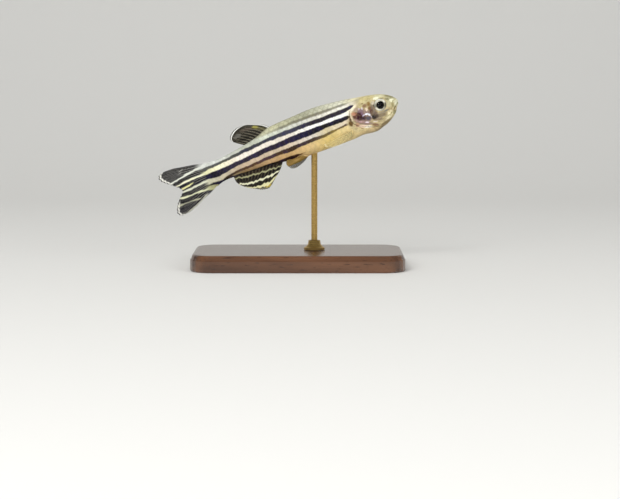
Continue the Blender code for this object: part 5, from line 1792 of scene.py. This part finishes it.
@dataclass
class Fins:
    """All seven fins, each in one piece."""

    sink: float = 0.35

    def along_body(self, start: float, end: float, line: Line, clear: float) -> tuple:
        """(back, height) points that keep clear of a line of the body."""
        return tuple((b, float(line(b)) + clear) for b in np.linspace(start, end, 7))

    def dorsal(self) -> Fin:
        """The dorsal fin: smoky, with a white edge and a yellow fleck at its front."""
        base = self.along_body(23.0, 28.3, FORM.back_line, -self.sink)
        film = FinFilm(
            "dorsal fin film",
            clear="1B180F",
            clearness=0.88,
            spots=(
                Spot("olive front", (25.0, 4.7), (1.5, 0.5), 25, "5A5534", 0.75),
                Spot("yellow fleck", (25.7, 5.25), (0.8, 0.3), 20, "A39B3E", 0.75),
                Spot("grey cloud", (29.2, 4.75), (1.0, 0.45), 0, "6A6862", 0.6),
                Spot("brown heart", (27.2, 5.3), (1.6, 0.4), 5, "54483E", 0.6),
            ),
            shades=(
                Streak(((26.0, 4.2, 0.05), (28.0, 3.9, 0.2), (29.6, 4.0, 0.1)), "14110E", 0.8),
                Streak(((25.6, 5.75, 0.0), (27.3, 5.75, 0.1), (28.8, 5.6, 0.15), (29.8, 5.2, 0.1)), "1A1714", 0.75),
            ),
            ray="9C9682",
            ray_strength=0.5,
            ray_fade=0.35,
            edge="F4F4EE",
            edge_at=0.945,
            edge_half=0.03,
            edge_strength=1.0,
            lead_strength=0.75,
        )
        return Fin(
            "dorsal_fin_film",
            median(base),
            median(
                (
                    (27.7, 6.25), (28.6, 6.17), (29.4, 5.96), (30.0, 5.6), (30.45, 5.1), (30.6, 4.7), (30.45, 4.2),
                )
            ),
            median((base[0], (24.1, 5.13), (25.0, 5.53), (25.9, 5.87), (26.8, 6.14), (27.7, 6.25))),
            median((base[-1], (29.2, 3.25), (29.9, 3.75), (30.45, 4.2))),
            9,
            film,
        )

    def anal(self) -> Fin:
        """The anal fin: cream lines between blue-black bands."""
        base = self.along_body(22.9, 32.3, FORM.belly_line, self.sink)
        dark = "0B080A"
        film = FinFilm(
            "anal fin film",
            clear="1E1814",
            clearness=0.8,
            ray="7E765A",
            ray_strength=0.4,
            ray_fade=0.85,
            shades=(
                Streak(((22.6, -2.9, 0.0), (24.0, -3.3, 0.4), (28.0, -3.35, 0.45), (32.0, -2.8, 0.3)), dark, 0.95),
                Streak(((24.5, -4.0, 0.05), (26.0, -4.5, 0.35), (29.0, -4.5, 0.35), (31.0, -4.1, 0.2)), dark, 0.95),
                Streak(((23.0, -2.3, 0.1), (25.0, -2.45, 0.3), (29.0, -2.25, 0.25), (32.0, -2.0, 0.1)), "1B0F08"),
            ),
            streaks=(
                Streak(
                    (
                        (22.6, -2.75, -0.08), (23.4, -2.8, 0.08), (25.0, -2.87, 0.11), (27.0, -2.85, 0.13),
                        (28.8, -2.68, 0.13), (30.4, -2.6, 0.12), (31.4, -2.35, 0.12), (32.6, -2.1, 0.06),
                    ),
                    "A09E78",
                ),
                Streak(
                    (
                        (23.9, -3.45, 0.0), (24.3, -3.52, 0.1), (25.6, -3.87, 0.13), (27.0, -3.99, 0.16),
                        (28.6, -3.96, 0.16), (30.4, -3.88, 0.15), (31.8, -3.42, 0.12), (32.2, -3.3, 0.08),
                    ),
                    "DEDDBC",
                    0.95,
                ),
                Streak(
                    (
                        (24.9, -4.2, 0.08), (25.3, -4.4, 0.12), (26.4, -4.98, 0.2), (27.6, -5.13, 0.26),
                        (29.0, -5.02, 0.17), (30.4, -4.58, 0.12), (30.9, -4.4, 0.08),
                    ),
                    "D8D3A4",
                    0.95,
                ),
            ),
            spots=(Spot("yellow point", (27.0, -5.35), (0.9, 0.42), 0, "B7A23C", 0.9),),
            edge="B9B49A",
            edge_strength=0.4,
        )
        return Fin(
            "anal_fin_film",
            median(base),
            median(((27.0, -5.95), (27.9, -5.85), (29.2, -5.3), (30.4, -4.68), (31.3, -4.0), (31.9, -3.4))),
            median((base[0], (24.1, -3.6), (25.2, -4.5), (26.3, -5.45), (27.0, -5.95))),
            median((base[-1], (32.2, -2.7), (31.9, -3.4))),
            14,
            film,
        )

    def caudal(self) -> Fin:
        """The tail fin: five pale streaks fanning out between blue-black bands."""
        root = 35.5
        upper, lower = (root, 2.05), (root, -2.3)
        dark = "0A0910"
        film = FinFilm(
            "tail fin film",
            clear="1B1A1E",
            clearness=0.74,
            ray="A19F98",
            ray_strength=0.55,
            ray_fade=0.9,
            root=0.34,
            jitter=0.05,
            edge_where=((0.0, 1.0), (4.5, 1.0), (6.5, 0.0), (13.0, 0.0), (15.0, 0.9), (19.0, 0.9)),
            shades=(
                Streak(((35.4, 1.35, 0.25), (38.0, 1.0, 0.3), (41.0, 0.7, 0.25), (43.5, 0.4, 0.1)), dark, 0.95),
                Streak(((35.4, -0.35, 0.5), (38.0, -0.3, 0.5), (40.5, -0.4, 0.45), (42.6, -0.6, 0.3)), "08071A", 0.97),
                Streak(((35.4, -1.8, 0.4), (38.0, -1.8, 0.45), (40.5, -1.85, 0.4), (43.0, -2.0, 0.3)), dark, 0.95),
                Streak(((36.0, -2.9, 0.1), (38.0, -2.9, 0.35), (41.0, -3.0, 0.4), (43.5, -2.9, 0.3)), dark, 0.9),
                Streak(((38.5, -3.8, 0.05), (40.0, -4.0, 0.2), (42.0, -4.3, 0.35), (43.8, -4.3, 0.3)), "1F1D24", 0.8),
            ),
            streaks=(
                Streak(
                    (
                        (35.3, 2.1, 0.2), (36.7, 1.74, 0.2), (38.2, 1.62, 0.19), (39.4, 1.46, 0.17),
                        (40.7, 1.24, 0.15), (42.1, 0.92, 0.14), (43.3, 0.68, 0.14), (43.9, 0.55, -0.05),
                    ),
                    "DBDDD0",
                    0.95,
                ),
                Streak(
                    (
                        (35.3, 0.6, 0.36), (36.2, 0.48, 0.28), (37.1, 0.4, 0.2), (38.5, 0.35, 0.15), (40.0, 0.27, 0.17),
                        (41.2, 0.13, 0.15), (42.4, 0.0, 0.13), (42.9, -0.03, -0.05),
                    ),
                    CREAM,
                    0.95,
                ),
                Streak(((39.2, -0.4, -0.05), (39.7, -0.48, 0.1), (41.6, -0.82, 0.15), (42.1, -0.9, -0.05)), "DEDB9E", 0.9),
                Streak(
                    (
                        (34.8, -1.35, 0.3), (35.8, -1.18, 0.3), (37.1, -1.0, 0.22), (38.5, -1.1, 0.16),
                        (39.8, -1.26, 0.15), (41.0, -1.4, 0.15), (41.9, -1.4, 0.1), (42.3, -1.45, -0.05),
                    ),
                    "D3D4BE",
                    0.95,
                ),
                Streak(
                    (
                        (35.4, -2.5, 0.12), (36.7, -2.3, 0.26), (37.8, -2.4, 0.18), (39.0, -2.36, 0.12), (40.0, -2.33, 0.15),
                        (41.2, -2.42, 0.14), (42.6, -2.3, 0.15), (43.1, -2.25, -0.05),
                    ),
                    "D9DAB6",
                    0.92,
                ),
                Streak(
                    (
                        (38.9, -3.5, -0.05), (39.6, -3.5, 0.14), (41.0, -3.42, 0.1), (42.0, -3.42, 0.06),
                        (43.0, -3.46, 0.14), (43.6, -3.46, 0.1), (44.0, -3.4, -0.05),
                    ),
                    "ABAA92",
                    0.85,
                ),
                Streak(
                    (
                        (37.4, -3.1, -0.04), (37.9, -3.25, 0.13), (39.2, -3.95, 0.09), (40.4, -4.48, 0.09),
                        (41.4, -4.85, 0.1), (42.4, -5.1, 0.02),
                    ),
                    "C7C6B4",
                    0.8,
                ),
            ),
            spots=(
                Spot("upper dash", (40.9, 2.4), (0.7, 0.13), -14, "A9A8A0", 0.7),
                Spot("upper dash below", (41.2, 1.95), (0.8, 0.12), -14, "8F8D88", 0.6),
                Spot("upper end dash", (44.2, 1.6), (0.5, 0.2), -6, "A4A39A", 0.8),
            ),
            edge="DEDDD4",
            edge_at=0.965,
            edge_half=0.024,
            edge_strength=1.0,
        )
        return Fin(
            "caudal_fin_film",
            median((upper, lower)),
            median(
                (
                    (44.4, 3.05), (44.95, 2.75), (45.1, 2.34), (44.85, 1.75), (43.9, 0.9), (42.7, -0.05),
                    (41.95, -0.8), (41.8, -1.26), (42.2, -1.75), (42.8, -2.34), (43.5, -3.2), (44.0, -4.3),
                    (44.05, -4.7), (43.75, -5.1), (43.2, -5.3),
                )
            ),
            median((upper, (38.5, 2.62), (40.7, 2.95), (42.1, 3.17), (43.4, 3.2), (44.4, 3.05))),
            median((lower, (37.0, -3.1), (38.5, -3.7), (40.3, -4.55), (41.8, -5.1), (43.2, -5.3))),
            19,
            film,
            steps=30,
        )

    def pectoral(self, side: Side) -> Fin:
        """A pectoral fin: clear, laid back along the flank."""
        film = FinFilm(
            f"pectoral film {side.word}",
            clear="DCCB8E",
            clearness=0.08,
            cloud="CDBB80",
            ray="E0D29C",
            ray_strength=0.9,
            ray_cover=0.34,
            root=0.05,
            edge="E6E6DA",
            edge_strength=0.3,
        )
        return Fin(
            f"pectoral_fin_{side.word}_film",
            self.paired(((9.4, 2.0, -1.1), (9.5, 1.92, -1.55), (9.7, 1.8, -2.0)), side),
            self.paired(((15.2, 3.0, -1.75), (15.1, 3.0, -2.2), (14.2, 2.85, -2.65), (12.6, 2.5, -2.8)), side),
            self.paired(((9.4, 2.0, -1.1), (12.4, 2.66, -1.3), (15.2, 3.0, -1.75)), side),
            self.paired(((9.7, 1.8, -2.0), (11.3, 2.25, -2.5), (12.6, 2.5, -2.8)), side),
            10,
            film,
            ray_root=0.05,
        )

    def pelvic(self, side: Side) -> Fin:
        """A pelvic fin: the right one folded back along the belly, the left one hanging."""
        if side is Side.RIGHT:
            film = FinFilm(
                "pelvic film right",
                clear="8A6C34",
                clearness=0.88,
                spots=(
                    Spot("olive edge", (20.3, -3.3), (1.8, 0.3), 0, "7A6A2A", 0.7),
                    Spot("pale heart", (20.6, -2.8), (0.9, 0.25), 0, "B8965A", 0.7),
                ),
                ray="A98E54",
                edge="9A844A",
                edge_strength=0.5,
            )
            front = ((18.3, 0.8, -2.8), (20.4, 1.0, -3.3), (22.4, 1.15, -3.4))
            rear = ((19.0, 1.25, -2.4), (20.7, 1.6, -2.4), (22.2, 1.6, -2.2))
            base = (front[0], (18.6, 1.05, -2.65), rear[0])
            tip = (front[-1], (22.6, 1.3, -2.95), (22.5, 1.5, -2.5), rear[-1])
        else:
            film = FinFilm("pelvic film left", clear="6F6C62", clearness=0.55, ray="A5A296", edge="B9B8AC", edge_strength=0.6)
            front = ((18.3, 0.8, -2.8), (19.8, 1.1, -3.75), (21.2, 1.3, -4.2))
            rear = ((19.2, 1.25, -2.45), (21.0, 1.65, -2.85), (22.5, 1.75, -3.0))
            base = (front[0], (18.7, 1.05, -2.7), rear[0])
            tip = (front[-1], (21.9, 1.45, -4.1), (22.4, 1.6, -3.6), rear[-1])
        paths = [self.paired(points, side) for points in (base, tip, front, rear)]
        return Fin(f"pelvic_fin_{side.word}_film", *paths, 7, film, ray_root=0.06)

    def paired(self, points: tuple, side: Side) -> Path:
        """A path through (back, out, height) points, on the left or the right of the fish."""
        return Path(tuple((back, side.value * out, height) for back, out, height in points))

    def build(self, markings: bpy.types.NodeTree) -> None:
        """Make and fix every fin."""
        shape = ray_shape()
        fins = [self.dorsal(), self.anal(), self.caudal()]
        fins += [self.pectoral(side) for side in Side] + [self.pelvic(side) for side in Side]
        for fin in fins:
            finished(fin.build(shape, markings), "fin", fin.name.removesuffix("_film"))


@dataclass(frozen=True)
class BarbelSkin:
    """Soft skin of a feeler: olive with paler patches."""

    name: str = "barbel skin"

    def material(self) -> bpy.types.Material:
        """Make the feelers' material."""
        made = bpy.data.materials.new(self.name)
        made.use_nodes = True
        tree = made.node_tree
        shader = tree.nodes["Principled BSDF"]
        place, _, _ = PLACE.nodes(tree)
        noise = add(tree, "ShaderNodeTexNoise", {"Vector": place, "Scale": 6.0, "Detail": 3.0})
        colour = mixed(tree, noise.outputs[0], linear("857A4A"), linear("BDB280"))
        tree.links.new(colour, shader.inputs["Base Color"])
        bump = add(tree, "ShaderNodeBump", {"Height": noise.outputs[0], "Distance": 0.01 * MM})
        tree.links.new(bump.outputs[0], shader.inputs["Normal"])
        shader.inputs["Roughness"].default_value = 0.4
        return made


@dataclass
class Barbels:
    """A short pair of feelers beside the snout and a longer pair from the corners of the mouth."""

    rostral: tuple = ((0.8, 1.4), (1.1, 1.12), (1.32, 0.7), (1.52, 0.42), (1.9, 0.25))
    maxillary: tuple = ((1.65, -0.4), (2.3, -0.78), (3.1, -0.86), (3.8, -1.1), (4.5, -1.14))
    root_radius: float = 0.075
    tip_radius: float = 0.022
    steps: int = 28
    sides: int = 12

    def build(self) -> None:
        """Make and fix the four barbels."""
        finish = BarbelSkin().material()
        for word, points in (("rostral", self.rostral), ("maxillary", self.maxillary)):
            way = Path(points)
            for side in Side:
                name = f"barbel_{word}_{side.word}"
                piece = self.feeler(f"{name}_skin", way, side, finish)
                finished(piece, "barbel", name)

    def feeler(self, name: str, way: Path, side: Side, finish: bpy.types.Material) -> bpy.types.Object:
        """One tapered, gently curved feeler that leaves the skin at its root."""
        shares = np.linspace(0, 1, self.steps + 1)
        spots = []
        for share, (back, height) in zip(shares, way(shares), strict=True):
            clear = -0.06 + 0.34 * smoothstep(share, 0.0, 0.3) - 0.08 * share
            spots.append((back, side.value * (FORM.flank(back, height) + clear), height))
        middles = PLACE.world(np.array(spots))
        work = bmesh.new()
        rings = []
        for j, middle in enumerate(middles):
            ahead = Vector(middles[min(j + 1, self.steps)] - middles[max(j - 1, 0)])
            first = ahead.cross(Vector((0, 0, 1))).normalized()
            second = ahead.cross(first).normalized()
            end = math.sqrt(max(0.0, 1 - max(0.0, (j / self.steps - 0.93) / 0.07) ** 2))
            radius = (self.root_radius + (self.tip_radius - self.root_radius) * j / self.steps) * MM
            radius *= max(end, 0.15)
            ring = []
            for k in range(self.sides):
                turn = 2 * math.pi * k / self.sides
                ring.append(work.verts.new(Vector(middle) + radius * (math.cos(turn) * first + math.sin(turn) * second)))
            rings.append(ring)
        for near, far in zip(rings[:-1], rings[1:], strict=True):
            for k in range(self.sides):
                m = (k + 1) % self.sides
                work.faces.new((near[k], near[m], far[m], far[k]))
        work.faces.new(rings[0])
        work.faces.new(rings[-1])
        bmesh.ops.recalc_face_normals(work, faces=work.faces)
        mesh = bpy.data.meshes.new(name)
        work.to_mesh(mesh)
        work.free()
        mesh.shade_smooth()
        return object_of(mesh, finish)


@dataclass(frozen=True)
class Walnut:
    """Dark walnut under satin lacquer: long brown figure, fine dark pores and a soft gloss."""

    name: str = "lacquered walnut"
    figure: float = 3.4
    pore_length: float = 1.6
    pore_width: float = 0.16

    def material(self) -> bpy.types.Material:
        """Make the wood, its grain along the base."""
        made = bpy.data.materials.new(self.name)
        made.use_nodes = True
        tree = made.node_tree
        shader = tree.nodes["Principled BSDF"]
        here = add(tree, "ShaderNodeTexCoord").outputs["Object"]
        stretch = (0.1 / (self.figure * MM), 1 / (self.figure * MM), 1 / (self.figure * MM))
        drawn = add(tree, "ShaderNodeMapping", {"Vector": here, "Scale": stretch})
        bend = add(tree, "ShaderNodeTexNoise", {"Vector": drawn, "Scale": 1.3, "Detail": 5.0, "Distortion": 0.8})
        rings = add(
            tree,
            "ShaderNodeTexWave",
            {"Vector": drawn, "Scale": 0.45, "Distortion": 9.0, "Detail": 3.0, "Detail Scale": 0.8},
            bands_direction="Y",
        )
        share = add(tree, "ShaderNodeMix", {0: 0.3, 2: bend.outputs[0], 3: rings.outputs[1]})
        ramp = add(tree, "ShaderNodeValToRGB", {"Fac": share})
        stops = ramp.color_ramp.elements
        stops[0].position, stops[0].color = 0.22, linear("3A2317")
        stops[1].position, stops[1].color = 0.72, linear("68442C")
        thin = (1 / (self.pore_length * MM), 1 / (self.pore_width * MM), 1 / (self.pore_width * MM))
        pores = add(
            tree,
            "ShaderNodeTexNoise",
            {"Vector": add(tree, "ShaderNodeMapping", {"Vector": here, "Scale": thin}), "Scale": 1.0, "Detail": 2.0},
        )
        pore = add(tree, "ShaderNodeMapRange", {"Value": pores.outputs[0], 1: 0.62, 2: 0.72, 3: 0.0, 4: 0.7})
        colour = mixed(tree, pore, ramp.outputs[0], linear("1A0E08"))
        tree.links.new(colour, shader.inputs["Base Color"])
        bump = add(tree, "ShaderNodeBump", {"Height": pore, "Distance": 0.02 * MM}, invert=True)
        tree.links.new(bump.outputs[0], shader.inputs["Normal"])
        shader.inputs["Roughness"].default_value = 0.25
        shader.inputs["Coat Weight"].default_value = 0.5
        shader.inputs["Coat Roughness"].default_value = 0.25
        return made


@dataclass(frozen=True)
class TurnedBrass:
    """Turned brass, satin: fine rings from the lathe across its axis."""

    name: str = "turned brass"
    groove: float = 0.12

    def material(self) -> bpy.types.Material:
        """Make the brass, its lathe marks level with the base."""
        made = bpy.data.materials.new(self.name)
        made.use_nodes = True
        tree = made.node_tree
        shader = tree.nodes["Principled BSDF"]
        here = add(tree, "ShaderNodeTexCoord").outputs["Object"]
        cuts = (60.0, 60.0, 1 / (self.groove * MM))
        noise = add(
            tree,
            "ShaderNodeTexNoise",
            {"Vector": add(tree, "ShaderNodeMapping", {"Vector": here, "Scale": cuts}), "Scale": 1.0, "Detail": 3.0},
        )
        rough = add(tree, "ShaderNodeMapRange", {"Value": noise.outputs[0], 1: 0.3, 2: 0.7, 3: 0.24, 4: 0.34})
        tree.links.new(rough.outputs[0], shader.inputs["Roughness"])
        tree.links.new(mixed(tree, noise.outputs[0], linear("C29E5A"), linear("CFAE6A")), shader.inputs["Base Color"])
        bump = add(tree, "ShaderNodeBump", {"Height": noise.outputs[0], "Distance": 0.0015 * MM})
        tree.links.new(bump.outputs[0], shader.inputs["Normal"])
        shader.inputs["Metallic"].default_value = 1.0
        return made


@dataclass
class Stand:
    """The display stand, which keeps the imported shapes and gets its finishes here."""

    def build(self) -> None:
        """Dress the base, the collar and the rod."""
        wood, brass = Walnut().material(), TurnedBrass().material()
        for node, finish in (("stand_base", wood), ("stand_collar", brass), ("stand_rod", brass)):
            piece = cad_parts[node]
            for slot in piece.material_slots:
                slot.material = finish
            LOG.info("%s: finished as %s", node, finish.name)


@dataclass
class Studio:
    """A plain pale floor that sweeps up behind, soft lights and the camera."""

    picture: tuple = (620, 499)
    mm_per_pixel: float = 0.18
    fish_pixel: tuple = (278.0, 150.0)
    fish_point: tuple = (-3.6, 21.0)
    distance: float = 330.0
    camera_height: float = 36.0
    sensor: float = 36.0
    floor_colour: str = "E6E5E1"

    def floor(self) -> None:
        """The floor and its sweep, well outside the view on all sides."""
        profile = [(-900.0, 0.0), (160.0, 0.0)]
        turn = np.linspace(0, math.pi / 2, 16)[1:]
        profile += [(160.0 + 320 * math.sin(a), 320 * (1 - math.cos(a))) for a in turn]
        profile.append((480.0, 1000.0))
        points = np.array([[(x, y, z) for x in (-900.0, 0.0, 900.0)] for y, z in profile]) * MM
        mesh, _, _ = grid_mesh("floor", points, outward=np.array([0.0, -0.2, 1.0]))
        made = bpy.data.materials.new("matt paper sweep")
        made.use_nodes = True
        shader = made.node_tree.nodes["Principled BSDF"]
        shader.inputs["Base Color"].default_value = linear(self.floor_colour)
        shader.inputs["Roughness"].default_value = 0.9
        shader.inputs["Specular IOR Level"].default_value = 0.1
        object_of(mesh, made)

    def light(self, name: str, place: tuple, size: float, power: float, mirrored: bool = False) -> None:
        """A square soft light at a place in mm, aimed at the fish.

        Args:
            name: the light's name.
            place: where it hangs, in mm.
            size: its width, in mm.
            power: in watts.
            mirrored: whether wet surfaces show its reflection.
        """
        lamp = bpy.data.lights.new(name, "AREA")
        lamp.size = size * MM
        lamp.energy = power
        made = bpy.data.objects.new(name, lamp)
        bpy.context.scene.collection.objects.link(made)
        made.location = Vector(place) * MM
        aim = Vector((0.0, 0.0, 18.0)) * MM - made.location
        made.rotation_euler = aim.to_track_quat("-Z", "Y").to_euler()
        made.visible_glossy = mirrored

    def lights(self) -> None:
        """Broad soft lights, a small one for the wet gloss, and a little light from the room."""
        self.light("key", (-150.0, -440.0, 300.0), 340.0, 2.3)
        self.light("fill", (330.0, -420.0, 90.0), 380.0, 1.2)
        self.light("top", (0.0, 60.0, 560.0), 420.0, 0.7)
        self.light("sparkle", (-200.0, -420.0, 380.0), 34.0, 0.2, mirrored=True)
        world = bpy.data.worlds.new("room")
        world.use_nodes = True
        glow = world.node_tree.nodes["Background"]
        glow.inputs["Color"].default_value = linear("F2F4F6")
        glow.inputs["Strength"].default_value = 0.25
        bpy.context.scene.world = world
        bpy.context.scene.view_settings.view_transform = "Standard"

    def camera(self) -> None:
        """The camera, far off to the fish's right, with the photograph's framing."""
        wide, high = self.picture
        x = self.fish_point[0] + (wide / 2 - self.fish_pixel[0]) * self.mm_per_pixel
        z = self.fish_point[1] - (high / 2 - self.fish_pixel[1]) * self.mm_per_pixel
        lens = bpy.data.cameras.new("camera")
        lens.sensor_width = self.sensor
        lens.lens = self.sensor * self.distance / (wide * self.mm_per_pixel)
        lens.clip_start = 0.01
        made = bpy.data.objects.new("camera", lens)
        bpy.context.scene.collection.objects.link(made)
        drop = self.camera_height - z
        away = math.sqrt(self.distance**2 - drop**2)
        made.location = Vector((x, -away, self.camera_height)) * MM
        made.rotation_euler = (math.pi / 2 - math.asin(drop / self.distance), 0.0, 0.0)
        bpy.context.scene.camera = made

    def build(self) -> None:
        """Set up floor, lights and camera."""
        self.floor()
        self.lights()
        self.camera()


def main() -> None:
    """Build every piece."""
    logging.basicConfig(level=logging.INFO, format="%(name)s %(message)s")
    Studio().build()
    markings = Markings().group("danio markings", with_head=True)
    skin = Skin()
    piece = skin.build(FishSkin().material(markings))
    finished(piece, "trunk", "head", "lower_jaw", "gill_cover_left", "gill_cover_right", "trunk", "tail_stalk")
    for coat in Scales(skin).build(FishScale().material(markings)):
        finished(coat, "trunk")
    Eyes().build()
    Fins().build(Markings().group("danio stripes", with_head=False))
    Barbels().build()
    Stand().build()


if __name__ == "__main__":
    main()
